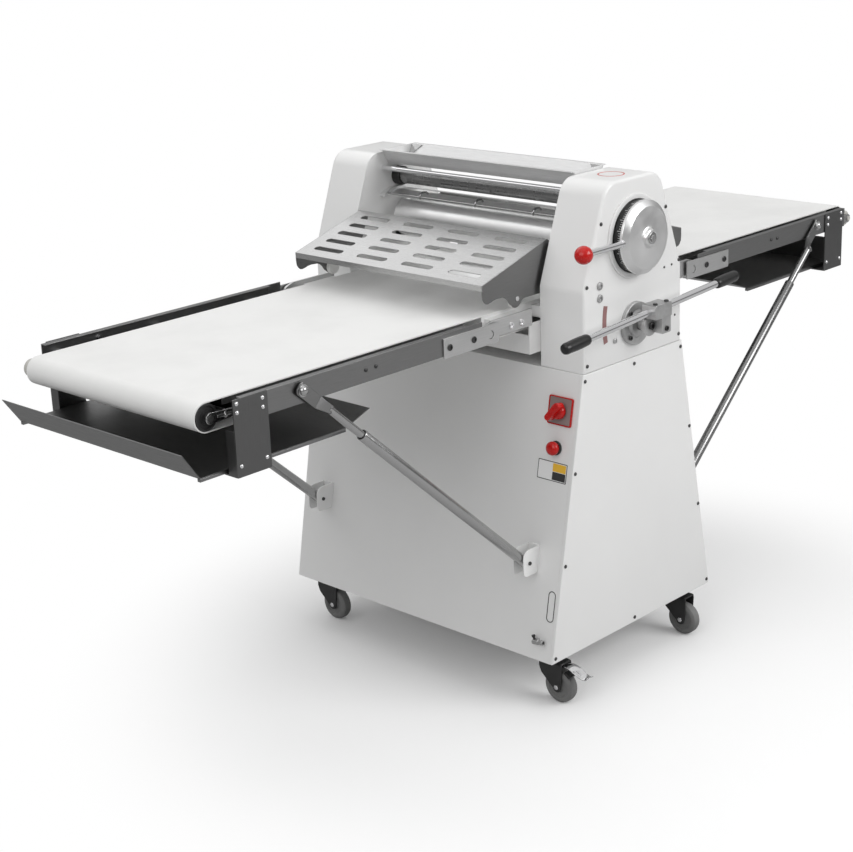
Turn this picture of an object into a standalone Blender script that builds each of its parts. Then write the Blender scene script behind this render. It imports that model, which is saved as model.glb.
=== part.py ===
"""Dough sheeter on casters: cabinet, roller head, two folding belt tables, struts, guards and trays.

Metres, +Z up. X runs along the belts, the operator stands at -Y. Shapes are worked out about the
middle of the head (x = 0, y = 0) and hang from one empty, which puts the middle of the whole
machine's box above the origin.
"""

import math

import bmesh
import bpy
from mathutils import Matrix, Vector

GAP = 0.0003  # between pieces that touch

# Cabinet
FLOOR_TO_CABINET = 0.112
CABINET_TOP = 0.716
BOTTOM_HALF_X = 0.281
TOP_HALF_X = 0.169
SHELL_HALF_Y = 0.385
FACE_Y = 0.393
SHELL_WALL = 0.003

# Head
HEAD_HALF_X = 0.165
HEAD_TOP = 1.095
SHOULDER_Z = 0.885
HEAD_LEAN = math.radians(20)
HEAD_CORNER_R = 0.045
HOUSING_INNER_Y = 0.279
HOUSING_WALL = 0.003
SIDE_FRAME_THICK = 0.012
HEAD_BASE_HALF_X = 0.200
HEAD_BASE_BOTTOM = 0.748
HEAD_BASE_TOP = 0.788
TRAY_TOP = 1.102

# Belts, rollers and drums
BELT_HALF_Y = 0.250
BELT_TOP = 0.849
BELT_THICK = 0.0025
LOOP_R = 0.028
LOOP_Z = BELT_TOP - LOOP_R
DRUM_R = 0.025
END_ROLLER_X = 1.026
DRIVE_DRUM_X = 0.095
ROLLER_R = 0.044
LOWER_ROLLER_Z = 0.811
UPPER_ROLLER_Z = 0.945
ROLLER_TRAVEL = 0.045
JOURNAL_R = 0.0145
BEARING_R = 0.0155

# Folding tables
HINGE_X = 0.341
HINGE_Z = 0.825
HINGE_PIN_R = 0.008
RAIL_Y = 0.297
RAIL_BOTTOM = 0.810
RAIL_TOP = 0.855
RAIL_SHEET = 0.0025
RAIL_END_X = 0.985
LINK_INNER_Y = 0.287
LINK_OUTER_Y = 0.293
END_PLATE_WIDTH = 0.079
END_PLATE_OUTER = (1.006, 0.972)  # open end of the roller, capped end of the roller
TRAY_FLOOR = 0.7235
TRAY_HALF_Y = 0.270

# Struts: the pin and the bolt are equally far from the hinge, so a strut turns half as far
STRUT_Y = 0.3125
STRUT_REACH = 0.507
CLEVIS_X = 0.272
CLEVIS_Z = HINGE_Z - math.sqrt(STRUT_REACH**2 - (HINGE_X - CLEVIS_X) ** 2)
BOLT_Z = 0.836
BOLT_X = HINGE_X + math.sqrt(STRUT_REACH**2 - (BOLT_Z - HINGE_Z) ** 2)
TUBE_LENGTH = 0.598
ROD_LENGTH = 0.470
TUBE_R = 0.011
BORE_R = 0.0086
ROD_R = 0.008

# Thickness dial and direction lever
DIAL_Z = 0.974
DIAL_R = 0.0765
HANDLE_REACH = 0.200
HANDLE_Y = -0.4223
LEVER_Z = 0.790
LEVER_ROD_Y = -0.445
LEVER_ROD_Z = 0.824
LEVER_HALF = 0.294
LEVER_TILT = math.radians(3.3)
LEVER_FRONT = 0.4625

# Guards
GUARD_PIVOT = (0.122, 0.958)
GUARD_HALF_Y = 0.272
GUARD_SHEET = 0.0015

# Casters
CASTER_X = 0.222
CASTER_Y = 0.345
CASTER_TRAIL = 0.022
WHEEL_R = 0.0375
WHEEL_HALF_WIDTH = 0.0125

LEFT_TRAY_OUT = 1.066  # outer fold of the left catch tray
RIGHT_TRAY_OUT = 0.953  # the right tray is pushed further in
TRAY_FLAT = 0.349
TRAY_LIP_REACH = 0.036

SHIFT = Vector(((LEFT_TRAY_OUT + TRAY_LIP_REACH - END_ROLLER_X - LOOP_R) / 2, (LEVER_FRONT - FACE_Y) / 2, 0))

WHITE = ("painted_white", (0.80, 0.80, 0.79), 0.35, 0.0)
STEEL = ("stainless", (0.55, 0.55, 0.55), 0.30, 1.0)
CHROME = ("chrome", (0.75, 0.75, 0.76), 0.10, 1.0)
ALUMINIUM = ("aluminium", (0.60, 0.60, 0.60), 0.35, 1.0)
CAST = ("cast_metal", (0.42, 0.42, 0.42), 0.45, 1.0)
BLACK = ("black_plastic", (0.02, 0.02, 0.02), 0.40, 0.0)
RED = ("red_plastic", (0.70, 0.03, 0.02), 0.30, 0.0)
BELT = ("belt_fabric", (0.72, 0.71, 0.69), 0.70, 0.0)
DARK = ("dark_steel", (0.10, 0.10, 0.10), 0.45, 0.6)
RUBBER = ("grey_rubber", (0.15, 0.15, 0.15), 0.70, 0.0)


# ---- building blocks -----------------------------------------------------------------------


def clear_scene():
    for obj in list(bpy.data.objects):
        bpy.data.objects.remove(obj, do_unlink=True)


def to_object(bm):
    bmesh.ops.recalc_face_normals(bm, faces=bm.faces)
    mesh = bpy.data.meshes.new("shape")
    bm.to_mesh(mesh)
    bm.free()
    obj = bpy.data.objects.new("shape", mesh)
    bpy.context.scene.collection.objects.link(obj)
    return obj


def at_axis(axis, along, a, b):
    """A point from its place along an axis and its two other coordinates, in X, Y, Z order."""
    if axis == "X":
        return Vector((along, a, b))
    if axis == "Y":
        return Vector((a, along, b))
    return Vector((a, b, along))


def prism(outline, axis, low, high):
    """An outline pushed along an axis. Its points are (y, z), (x, z) or (x, y) for X, Y or Z."""
    bm = bmesh.new()
    near = [bm.verts.new(at_axis(axis, low, a, b)) for a, b in outline]
    far = [bm.verts.new(at_axis(axis, high, a, b)) for a, b in outline]
    bm.faces.new(near)
    bm.faces.new(list(reversed(far)))
    count = len(outline)
    for i in range(count):
        j = (i + 1) % count
        bm.faces.new((near[i], near[j], far[j], far[i]))
    return to_object(bm)


def box(x0, x1, y0, y1, z0, z1):
    return prism([(x0, y0), (x1, y0), (x1, y1), (x0, y1)], "Z", z0, z1)


def turned(profile, centre, axis, sides=20, ring=False):
    """A turned solid: profile holds (distance along the axis, radius). A ring closes on itself."""
    direction = Vector(axis).normalized()
    turn = direction.to_track_quat("Z", "Y").to_matrix()
    bm = bmesh.new()
    rings = []
    for along, radius in profile:
        points = []
        for i in range(sides):
            angle = 2 * math.pi * (i + 0.5) / sides
            local = Vector((radius * math.cos(angle), radius * math.sin(angle), along))
            points.append(bm.verts.new(Vector(centre) + turn @ local))
        rings.append(points)
    pairs = list(zip(rings, rings[1:]))
    if ring:
        pairs.append((rings[-1], rings[0]))
    for one, two in pairs:
        for i in range(sides):
            j = (i + 1) % sides
            bm.faces.new((one[i], one[j], two[j], two[i]))
    if not ring:
        bm.faces.new(list(reversed(rings[0])))
        bm.faces.new(rings[-1])
    return to_object(bm)


def rod(centre, axis, low, high, radius, sides=12):
    return turned([(low, radius), (high, radius)], centre, axis, sides)


def arc(cx, cz, radius, start, end, steps):
    """Points on an arc, in degrees, both ends included."""
    points = []
    for i in range(steps + 1):
        angle = math.radians(start + (end - start) * i / steps)
        points.append((cx + radius * math.cos(angle), cz + radius * math.sin(angle)))
    return points


def combine(base, tools, operation):
    """Adds or cuts each tool in turn, and keeps the result as a plain mesh."""
    for tool in tools:
        modifier = base.modifiers.new("combine", "BOOLEAN")
        modifier.object = tool
        modifier.operation = operation
        modifier.solver = "EXACT"
        graph = bpy.context.evaluated_depsgraph_get()
        mesh = bpy.data.meshes.new_from_object(base.evaluated_get(graph))
        base.modifiers.clear()
        base.data = mesh
        bpy.data.objects.remove(tool, do_unlink=True)
    return base


def union(base, *tools):
    return combine(base, tools, "UNION")


def cut(base, *tools):
    return combine(base, tools, "DIFFERENCE")


def mirrored(outline):
    return [(-a, b) for a, b in outline]


def material(look):
    name, colour, roughness, metallic = look
    found = bpy.data.materials.get(name)
    if found:
        return found
    made = bpy.data.materials.new(name)
    made.use_nodes = True
    shader = made.node_tree.nodes["Principled BSDF"]
    shader.inputs["Base Color"].default_value = (*colour, 1)
    shader.inputs["Roughness"].default_value = roughness
    shader.inputs["Metallic"].default_value = metallic
    return made


def node(name, obj, look, origin=(0, 0, 0)):
    """Names a finished piece, puts its origin on its joint and hangs it from the machine's empty."""
    obj.name = name
    obj.data.name = name
    obj.data.transform(Matrix.Translation(-Vector(origin)))
    obj.data.shade_smooth()
    obj.data.set_sharp_from_angle(angle=math.radians(30))
    obj.data.materials.clear()
    obj.data.materials.append(material(look))
    obj.location = origin
    obj.parent = bpy.data.objects["machine"]
    return obj


def turn_about(obj, axis, angle, point):
    """Turns a mesh about a point, before it becomes a node."""
    there = Matrix.Translation(Vector(point))
    obj.data.transform(there @ Matrix.Rotation(angle, 4, axis) @ there.inverted())
    return obj


def half_turned(obj):
    """The same piece on the other table: half a turn about the head's upright axis."""
    obj.data.transform(Matrix.Rotation(math.pi, 4, "Z"))
    return obj


# ---- cabinet ---------------------------------------------------------------------------------


def panel_x(z):
    """How far the sloped side panel stands out at a height."""
    share = (z - FLOOR_TO_CABINET) / (CABINET_TOP - FLOOR_TO_CABINET)
    return BOTTOM_HALF_X + (TOP_HALF_X - BOTTOM_HALF_X) * share


def panel_normal():
    return Vector((-(CABINET_TOP - FLOOR_TO_CABINET), 0, BOTTOM_HALF_X - TOP_HALF_X)).normalized()


def on_panel(y, z, out=0.0):
    """A point on the left sloped panel, or that far off it."""
    return Vector((-panel_x(z), y, z)) + panel_normal() * out


def trapezoid(inset=0.0):
    low = FLOOR_TO_CABINET + inset
    high = CABINET_TOP - inset
    return [
        (-panel_x(low) + inset, low),
        (panel_x(low) - inset, low),
        (panel_x(high) - inset, high),
        (-panel_x(high) + inset, high),
    ]


def clevis(side, end):
    """A bracket with two rounded ears. side is -1 or 1 along X, end is -1 or 1 along Y."""
    low = CLEVIS_Z - 0.028
    high = CLEVIS_Z + 0.030
    nose = CLEVIS_X + 0.018
    round_r = 0.018
    ear = [(panel_x(low) - 0.001, low), (nose - 0.006, low), (nose, low + 0.006)]
    ear += arc(nose - round_r, high - round_r, round_r, 0, 90, 5)
    ear += [(panel_x(high) - 0.001, high)]
    web = [(panel_x(low) - 0.001, low), (panel_x(low) + 0.003, low)]
    web += [(panel_x(high) + 0.003, high), (panel_x(high) - 0.001, high)]
    if side < 0:
        ear = mirrored(ear)
        web = mirrored(web)
    pieces = [prism(web, "Y", end * STRUT_Y - 0.0155, end * STRUT_Y + 0.0155)]
    for edge in (-1, 1):
        inner = end * STRUT_Y + edge * 0.0125
        outer = end * STRUT_Y + edge * 0.0155
        pieces.append(prism(ear, "Y", inner, outer))
    bracket = union(pieces[0], *pieces[1:])
    hole = rod((side * CLEVIS_X, end * STRUT_Y, CLEVIS_Z), (0, 1, 0), -0.03, 0.03, 0.0045, 12)
    return cut(bracket, hole)


def make_cabinet():
    shell = prism(trapezoid(), "Y", -SHELL_HALF_Y, SHELL_HALF_Y)
    inside = prism(trapezoid(SHELL_WALL), "Y", -SHELL_HALF_Y - 0.01, SHELL_HALF_Y + 0.01)
    shell = cut(shell, inside)
    for side in (-1, 1):
        for end in (-1, 1):
            x = side * CASTER_X
            y = end * CASTER_Y
            plate = box(x - 0.035, x + 0.035, y - 0.035, y + 0.035, 0.108, FLOOR_TO_CABINET + 0.001)
            shell = union(shell, plate, clevis(side, end))
    node("cabinet_shell", shell, WHITE)
    for name, end in (("front_cover", -1), ("rear_cover", 1)):
        near = end * (SHELL_HALF_Y + GAP)
        far = end * FACE_Y
        node(name, prism(trapezoid(), "Y", min(near, far), max(near, far)), WHITE)


def make_motor():
    """A foot-mounted motor on the cabinet floor."""
    x = 0.06
    floor = FLOOR_TO_CABINET + SHELL_WALL + GAP
    z = floor + 0.095
    profile = [(-0.14, 0.050), (-0.135, 0.062), (-0.10, 0.062), (-0.098, 0.070), (0.11, 0.070)]
    profile += [(0.112, 0.060), (0.13, 0.050), (0.131, 0.012), (0.18, 0.012)]
    body = turned(profile, (x, 0, z), (0, 1, 0), 20)
    foot = box(x - 0.075, x + 0.075, -0.09, 0.10, floor, floor + 0.010)
    stand = box(x - 0.045, x + 0.045, -0.08, 0.09, floor + 0.005, z - 0.04)
    node("motor", union(body, foot, stand), DARK)


# ---- head --------------------------------------------------------------------------------------


def head_outline(inset=0.0, low=CABINET_TOP + GAP, steps=8):
    """The head from the front: sides that lean in above a shoulder, and a flat top with round corners."""
    half = HEAD_HALF_X - inset
    shoulder = SHOULDER_Z - inset * math.tan(HEAD_LEAN / 2)
    centre_z = HEAD_TOP - HEAD_CORNER_R
    side_x = HEAD_HALF_X - (centre_z - SHOULDER_Z) * math.tan(HEAD_LEAN)
    centre_x = side_x - HEAD_CORNER_R / math.cos(HEAD_LEAN)
    radius = HEAD_CORNER_R - inset
    lean = math.degrees(HEAD_LEAN)
    right = [(half, low), (half, shoulder)] + arc(centre_x, centre_z, radius, lean, 90, steps)
    left = [(-x, z) for x, z in reversed(right)]
    return right + left


def make_housing(name, end):
    """A cap with a closed outer face, open towards the rollers."""
    outer = end * FACE_Y
    inner = end * HOUSING_INNER_Y
    shell = prism(head_outline(), "Y", min(outer, inner), max(outer, inner))
    face = end * (FACE_Y - HOUSING_WALL)
    past = end * (HOUSING_INNER_Y - 0.01)
    hollow = prism(
        head_outline(HOUSING_WALL, CABINET_TOP + GAP + HOUSING_WALL),
        "Y",
        min(face, past),
        max(face, past),
    )
    shell = cut(shell, hollow)
    if end < 0:
        shell = cut(
            shell,
            rod((0, outer, DIAL_Z), (0, 1, 0), -0.01, 0.01, 0.013),
            rod((0, outer, LEVER_Z), (0, 1, 0), -0.01, 0.01, 0.0125),
        )
    node(name, shell, WHITE)


def make_side_frame(name, end):
    """The upright plate that closes a housing and holds the roller bearings."""
    inner = end * HOUSING_INNER_Y
    outer = end * (HOUSING_INNER_Y + SIDE_FRAME_THICK)
    inset = HOUSING_WALL + GAP
    low = CABINET_TOP + GAP + inset
    plate = prism(head_outline(inset, low), "Y", min(inner, outer), max(inner, outer))
    slot_low = UPPER_ROLLER_Z - ROLLER_TRAVEL - 0.001
    slot = arc(0, UPPER_ROLLER_Z, BEARING_R, 0, 180, 10) + arc(0, slot_low, BEARING_R, 180, 360, 10)
    tools = [prism(slot, "Y", min(inner, outer) - 0.01, max(inner, outer) + 0.01)]
    holes = [(0, LOWER_ROLLER_Z, BEARING_R), (DRIVE_DRUM_X, LOOP_Z, 0.0106), (-DRIVE_DRUM_X, LOOP_Z, 0.0106)]
    holes += [(side * GUARD_PIVOT[0], GUARD_PIVOT[1], 0.0056) for side in (-1, 1)]
    for x, z, radius in holes:
        tools.append(rod((x, inner, z), (0, 1, 0), -0.03, 0.03, radius))
    node(name, cut(plate, *tools), WHITE)


def make_head_base():
    """A shallow pan between the housings, under the rollers."""
    wall = 0.004
    half_y = HOUSING_INNER_Y - GAP
    pan = box(-HEAD_BASE_HALF_X, HEAD_BASE_HALF_X, -half_y, half_y, HEAD_BASE_BOTTOM, HEAD_BASE_BOTTOM + wall)
    walls = []
    for side in (-1, 1):
        near = side * (HEAD_BASE_HALF_X - wall)
        far = side * HEAD_BASE_HALF_X
        walls.append(box(min(near, far), max(near, far), -half_y, half_y, HEAD_BASE_BOTTOM, HEAD_BASE_TOP))
    node("head_base", union(pan, *walls), WHITE)


def make_flour_tray():
    """A trough on top of the head, with a rim folded outwards and gusseted ends."""
    half_y = HOUSING_INNER_Y - 0.002
    sheet = 0.0015
    bottom = TRAY_TOP - 0.034
    outer = [(-0.031, bottom), (0.031, bottom), (0.050, TRAY_TOP - sheet), (0.058, TRAY_TOP - sheet)]
    outer += [(0.058, TRAY_TOP), (0.049, TRAY_TOP), (0.030, bottom + sheet)]
    outer += [(-a, b) for a, b in reversed(outer[1:])][:-1]
    trough = prism(outer, "Y", -half_y, half_y)
    end_plate = [(-0.031, bottom), (0.031, bottom), (0.0495, TRAY_TOP - 0.0005), (-0.0495, TRAY_TOP - 0.0005)]
    ends = []
    for end in (-1, 1):
        near = end * (half_y - sheet)
        far = end * half_y
        ends.append(prism(end_plate, "Y", min(near, far), max(near, far)))
    node("flour_tray", union(trough, *ends), STEEL)


def make_head_bars():
    half_y = HOUSING_INNER_Y - GAP
    node("tie_bar", rod((-0.046, 0, 1.0595), (0, 1, 0), -half_y, half_y, 0.006), CHROME)
    step = half_y - 0.022
    profile = [(-half_y, 0.021), (-step, 0.021), (-step, 0.017)]
    profile += [(step, 0.017), (step, 0.021), (half_y, 0.021)]
    node("cross_shaft", turned(profile, (0, 0, 1.036), (0, 1, 0)), CHROME)


def make_scraper():
    """A blade on each side above the upper roller, joined by an arm at each side frame."""
    half_y = HOUSING_INNER_Y - GAP
    blade = [(0.060, 0.9960), (0.012, 1.0060), (0.012, 1.0080), (0.060, 0.9985)]
    arm = [(0.012, 1.0060), (0.060, 0.9960), (0.060, 1.0020), (0.034, 1.0120), (0.012, 1.0135)]
    arm += [(-x, z) for x, z in reversed(arm)]
    parts = [prism([(side * x, z) for x, z in blade], "Y", -half_y, half_y) for side in (-1, 1)]
    for end in (-1, 1):
        near = end * (half_y - 0.012)
        far = end * half_y
        parts.append(prism(arm, "Y", min(near, far), max(near, far)))
    node("upper_scraper", union(*parts), STEEL)


def roller(radius, half_length, journal, reach, centre, sides):
    profile = [(-reach, journal), (-half_length, journal), (-half_length, radius)]
    profile += [(half_length, radius), (half_length, journal), (reach, journal)]
    return turned(profile, centre, (0, 1, 0), sides)


def make_rollers():
    for name, z in (("upper_roller", UPPER_ROLLER_Z), ("lower_roller", LOWER_ROLLER_Z)):
        centre = (0, 0, z)
        node(name, roller(ROLLER_R, 0.255, JOURNAL_R, 0.300, centre, 28), CHROME, centre)
    for name, x in (("left_drive_drum", -DRIVE_DRUM_X), ("right_drive_drum", DRIVE_DRUM_X)):
        centre = (x, 0, LOOP_Z)
        node(name, roller(DRUM_R, 0.251, 0.010, 0.300, centre, 20), ALUMINIUM, centre)


def make_dial():
    """A graduated ring on the housing, a turning disc with a hub, and a handle with a ball."""
    face = -FACE_Y - GAP
    back = -0.414
    ring = [(face, 0.013), (face, 0.0745), (back, 0.0745), (back, 0.013)]
    node("scale_ring", turned(ring, (0, 0, DIAL_Z), (0, 1, 0), 28, ring=True), BLACK)
    profile = [(-0.345, 0.012), (back - GAP, 0.012), (back - GAP, DIAL_R), (-0.427, DIAL_R)]
    profile += [(-0.4305, 0.066), (-0.4305, 0.023), (-0.438, 0.021), (-0.438, 0.010), (-0.444, 0.010)]
    pivot = (0, HANDLE_Y, DIAL_Z)
    node("dial_disc", turned(profile, (0, 0, DIAL_Z), (0, 1, 0), 28), ALUMINIUM, pivot)
    centre = (0, HANDLE_Y, DIAL_Z)
    stem = rod(centre, (1, 0, 0), -HANDLE_REACH + 0.0185, -DIAL_R - GAP, 0.0055, 12)
    node("dial_handle", stem, CHROME, pivot)
    ball_r = 0.019
    profile = []
    for i in range(9):
        angle = math.radians(-80 + 20 * i)
        profile.append((-HANDLE_REACH + ball_r * math.sin(angle), ball_r * math.cos(angle)))
    ball = turned(profile, centre, (1, 0, 0), 16)
    socket = rod(centre, (1, 0, 0), -HANDLE_REACH + 0.0182, -HANDLE_REACH + 0.030, 0.0062, 12)
    node("dial_ball", cut(ball, socket), RED, pivot)


def make_lever():
    """A cast flange on the housing, a clamp on its shaft, and a long rod with a grip at each end."""
    face = -FACE_Y - GAP
    flange = [(face, 0.012), (face, 0.046), (-0.403, 0.046), (-0.406, 0.040)]
    flange += [(-0.409, 0.026), (-0.409, 0.012)]
    node("lever_flange", turned(flange, (0, 0, LEVER_Z), (0, 1, 0), 20, ring=True), CAST)
    pivot = (0, LEVER_ROD_Y, LEVER_Z)
    block = box(-0.019, 0.037, -LEVER_FRONT, -0.4205, 0.774, 0.839)
    shaft = rod((0, 0, LEVER_Z), (0, 1, 0), -0.425, -0.350, 0.011)
    slope = (math.cos(LEVER_TILT), 0, math.sin(LEVER_TILT))
    middle = (0, LEVER_ROD_Y, LEVER_ROD_Z)
    block = union(block, shaft)
    block = cut(block, rod(middle, slope, -0.06, 0.06, 0.0086))
    node("lever_clamp", block, CAST, pivot)
    grip = 0.075
    node("lever_rod", rod(middle, slope, -LEVER_HALF + 0.012, LEVER_HALF - 0.012, 0.008), CHROME, pivot)
    for name, side in (("lever_grip_left", -1), ("lever_grip_right", 1)):
        profile = [(LEVER_HALF - grip, 0.0100), (LEVER_HALF - grip + 0.006, 0.0125)]
        profile += [(LEVER_HALF - 0.006, 0.0125), (LEVER_HALF, 0.0080)]
        profile = [(side * along, radius) for along, radius in profile]
        sleeve = turned(profile, middle, slope)
        inner = [side * (LEVER_HALF - grip - 0.01), side * (LEVER_HALF - 0.0117)]
        bore = rod(middle, slope, min(inner), max(inner), 0.0083)
        node(name, cut(sleeve, bore), BLACK, pivot)


def make_switches():
    """The main switch and the stop button on the left sloped panel, near the operator."""
    normal = panel_normal()
    tilt = math.atan2(normal.z, -normal.x)
    centre = on_panel(-0.346, 0.636)
    left, right = centre.y - 0.036, centre.y + 0.036
    plate = box(centre.x - 0.005, centre.x - GAP, left, right, 0.636 - 0.045, 0.636 + 0.045)
    plate = turn_about(plate, "Y", tilt, centre)
    node("switch_plate", plate, ALUMINIUM)
    axle = on_panel(-0.346, 0.636, 0.0053)
    body = turned([(0, 0.023), (0.012, 0.022)], axle, normal, 24)
    near, far = axle.y - 0.0055, axle.y + 0.0055
    wing = box(axle.x - 0.026, axle.x - 0.008, near, far, axle.z - 0.022, axle.z + 0.022)
    wing = turn_about(wing, "Y", tilt, axle)
    node("switch_knob", union(body, wing), RED, axle)
    button = on_panel(-0.343, 0.559, 0.0050)
    profile = [(0, 0.0125), (0.010, 0.0145), (0.015, 0.0125), (0.017, 0.0080)]
    node("stop_button", turned(profile, button, normal, 20), RED, button)


# ---- tables --------------------------------------------------------------------------------


def belt_loop(bend_x, bend_angle, open_x):
    """The belt's side view: two straight runs from open_x and a half round about bend_x."""
    inner_r = LOOP_R - BELT_THICK
    outside = arc(bend_x, LOOP_Z, LOOP_R, 90, 90 + bend_angle, 12)
    inside = arc(bend_x, LOOP_Z, inner_r, 90, 90 + bend_angle, 12)
    outline = [(open_x, LOOP_Z + LOOP_R)] + outside + [(open_x, LOOP_Z - LOOP_R)]
    outline += [(open_x, LOOP_Z - inner_r)] + list(reversed(inside)) + [(open_x, LOOP_Z + inner_r)]
    return prism(outline, "Y", -BELT_HALF_Y, BELT_HALF_Y)


def rail(end):
    """A channel with its flanges towards the belt. Only its web runs on to the hinge."""
    web = RAIL_Y - RAIL_SHEET
    lip = RAIL_Y - 0.0135
    outline = [(RAIL_Y, RAIL_BOTTOM), (RAIL_Y, RAIL_TOP), (lip, RAIL_TOP), (lip, RAIL_TOP - RAIL_SHEET)]
    outline += [(web, RAIL_TOP - RAIL_SHEET), (web, RAIL_BOTTOM + RAIL_SHEET)]
    outline += [(lip, RAIL_BOTTOM + RAIL_SHEET), (lip, RAIL_BOTTOM)]
    outline = [(end * y, z) for y, z in outline]
    channel = prism(outline, "X", -RAIL_END_X, -0.400)
    near, far = sorted((end * web, end * RAIL_Y))
    return union(channel, box(-0.401, -0.362, near, far, RAIL_BOTTOM, RAIL_TOP))


def hinge_tab(end):
    """The stainless plate on a rail's inner end, bored for the hinge pin."""
    near, far = sorted((end * (RAIL_Y - 0.001), end * (RAIL_Y + 0.0032)))
    tab = box(-0.477, -0.317, near, far, 0.806, 0.846)
    hole = rod((-HINGE_X, end * RAIL_Y, HINGE_Z), (0, 1, 0), -0.02, 0.02, HINGE_PIN_R + 0.0008, 20)
    return cut(tab, hole)


def end_plate(end, outer_x):
    """A hanging plate with a folded edge and a shelf that carries the catch tray."""
    inner_x = outer_x - END_PLATE_WIDTH
    top = RAIL_TOP + 0.001
    low = 0.7135
    near, far = sorted((end * (RAIL_Y - 0.0005), end * (RAIL_Y + 0.0028)))
    plate = box(-outer_x, -inner_x, near, far, low, top)
    near, far = sorted((end * 0.275, end * RAIL_Y))
    fold = box(-outer_x, -outer_x + 0.0025, near, far, low, RAIL_BOTTOM - 0.012)
    near, far = sorted((end * 0.262, end * RAIL_Y))
    shelf = box(-outer_x, -inner_x, near, far, low, low + 0.003)
    return union(plate, fold, shelf)


def roller_arm(end, y):
    """An eye for the end roller's journal, on an arm from the outermost cross bar."""
    near, far = sorted((end * y, end * (y + 0.006)))
    outline = [(-0.95, 0.815)] + arc(-END_ROLLER_X, LOOP_Z, 0.0105, 270, 90, 8) + [(-0.95, 0.827)]
    arm = prism(outline, "Y", near, far)
    hole = rod((-END_ROLLER_X, end * y, LOOP_Z), (0, 1, 0), -0.02, 0.02, 0.0066, 12)
    return cut(arm, hole)


def make_table_frame():
    """Two rails, cross bars and a slider bed inside the belt, hinge tabs, end plates and roller eyes."""
    bed = box(-0.985, -0.362, -0.245, 0.245, 0.832, BELT_TOP - BELT_THICK - 0.001)
    web = RAIL_Y - 0.001
    parts = [rail(-1), rail(1)]
    bars = [box(-x - 0.010, -x + 0.010, -web, web, 0.813, 0.833) for x in (0.945, 0.700, 0.440)]
    plates = [end_plate(-1, END_PLATE_OUTER[0]), end_plate(1, END_PLATE_OUTER[1])]
    arms = [roller_arm(-1, 0.256), roller_arm(1, 0.2765)]
    frame = union(bed, *bars, *parts, *plates, hinge_tab(-1), hinge_tab(1), *arms)
    bolt_holes = [
        rod((-BOLT_X, end * RAIL_Y, BOLT_Z), (0, 1, 0), -0.01, 0.01, 0.0056, 12) for end in (-1, 1)
    ]
    return cut(frame, *bolt_holes)


def make_end_roller():
    """A roller with one plain end and one capped end."""
    profile = [(-0.264, 0.006), (-0.251, 0.006), (-0.251, DRUM_R), (0.251, DRUM_R), (0.2515, 0.019)]
    profile += [(0.272, 0.019), (0.2755, 0.016), (0.2755, 0.006), (0.286, 0.006)]
    return turned(profile, (-END_ROLLER_X, 0, LOOP_Z), (0, 1, 0), 20)


def make_catch_tray(outer_x):
    """A pan with both ends slanted outwards, and a hem along each side that rides on the shelves."""
    sheet = 0.0015
    floor = TRAY_FLOOR
    inner_x = outer_x - TRAY_FLAT
    outline = [(-outer_x, floor), (-inner_x, floor), (-inner_x + 0.064, floor + 0.023)]
    outline += [(-inner_x + 0.0635, floor + 0.0245), (-inner_x - 0.0005, floor + sheet)]
    outline += [(-outer_x + 0.001, floor + sheet)]
    lip = -outer_x - TRAY_LIP_REACH
    outline += [(lip + 0.0015, floor + 0.0525), (lip, floor + 0.0515)]
    pan = prism(outline, "Y", -TRAY_HALF_Y, TRAY_HALF_Y)
    hems = []
    for end in (-1, 1):
        near, far = sorted((end * (TRAY_HALF_Y - 0.008), end * TRAY_HALF_Y))
        hems.append(box(-outer_x, -inner_x, near, far, floor - 0.0065, floor + 0.0005))
    return union(pan, *hems)


def make_hinge_bracket():
    """Two link plates with the hinge pins, joined by a slider bed inside the inner belt."""
    bed = box(-0.310, -0.1265, -0.247, 0.247, 0.815, BELT_TOP - BELT_THICK - 0.001)
    half_y = HOUSING_INNER_Y - GAP
    wing = box(-0.300, -0.210, -LINK_INNER_Y - 0.001, LINK_INNER_Y + 0.001, 0.816, 0.840)
    root = box(-0.158, -0.128, -half_y, half_y, 0.816, 0.840)
    parts = [wing, root]
    for end in (-1, 1):
        near, far = sorted((end * LINK_INNER_Y, end * LINK_OUTER_Y))
        outline = [(-0.207, 0.814), (-0.207, BELT_TOP)] + arc(-HINGE_X, HINGE_Z, 0.020, 90, 270, 10)
        outline[2:2] = [(-0.330, BELT_TOP)]
        link = prism(outline, "Y", near, far)
        tip = end * (RAIL_Y + 0.0018)
        near, far = sorted((end * (LINK_INNER_Y + 0.001), tip))
        pin = rod((-HINGE_X, 0, HINGE_Z), (0, 1, 0), near, far, HINGE_PIN_R, 20)
        parts.append(union(link, pin))
    return union(bed, *parts)


def make_tables():
    hinge = Vector((-HINGE_X, 0, HINGE_Z))
    roller_axis = Vector((-END_ROLLER_X, 0, LOOP_Z))
    for name, turn in (("left", False), ("right", True)):
        tray_out = RIGHT_TRAY_OUT if turn else LEFT_TRAY_OUT
        made = [
            ("table_frame", make_table_frame(), STEEL, hinge),
            ("belt", belt_loop(-END_ROLLER_X, 180, -HINGE_X), BELT, hinge),
            ("end_roller", make_end_roller(), ALUMINIUM, roller_axis),
            ("catch_tray", make_catch_tray(tray_out), STEEL, hinge),
            ("hinge_bracket", make_hinge_bracket(), DARK, hinge),
            ("belt_inner", belt_loop(-DRIVE_DRUM_X, -180, -HINGE_X + 0.0255), BELT, hinge),
        ]
        for piece, obj, look, origin in made:
            if turn:
                obj = half_turned(obj)
                origin = Vector((-origin.x, -origin.y, origin.z))
            node(f"{name}_{piece}", obj, look, origin)


# ---- struts ----------------------------------------------------------------------------------


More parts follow.
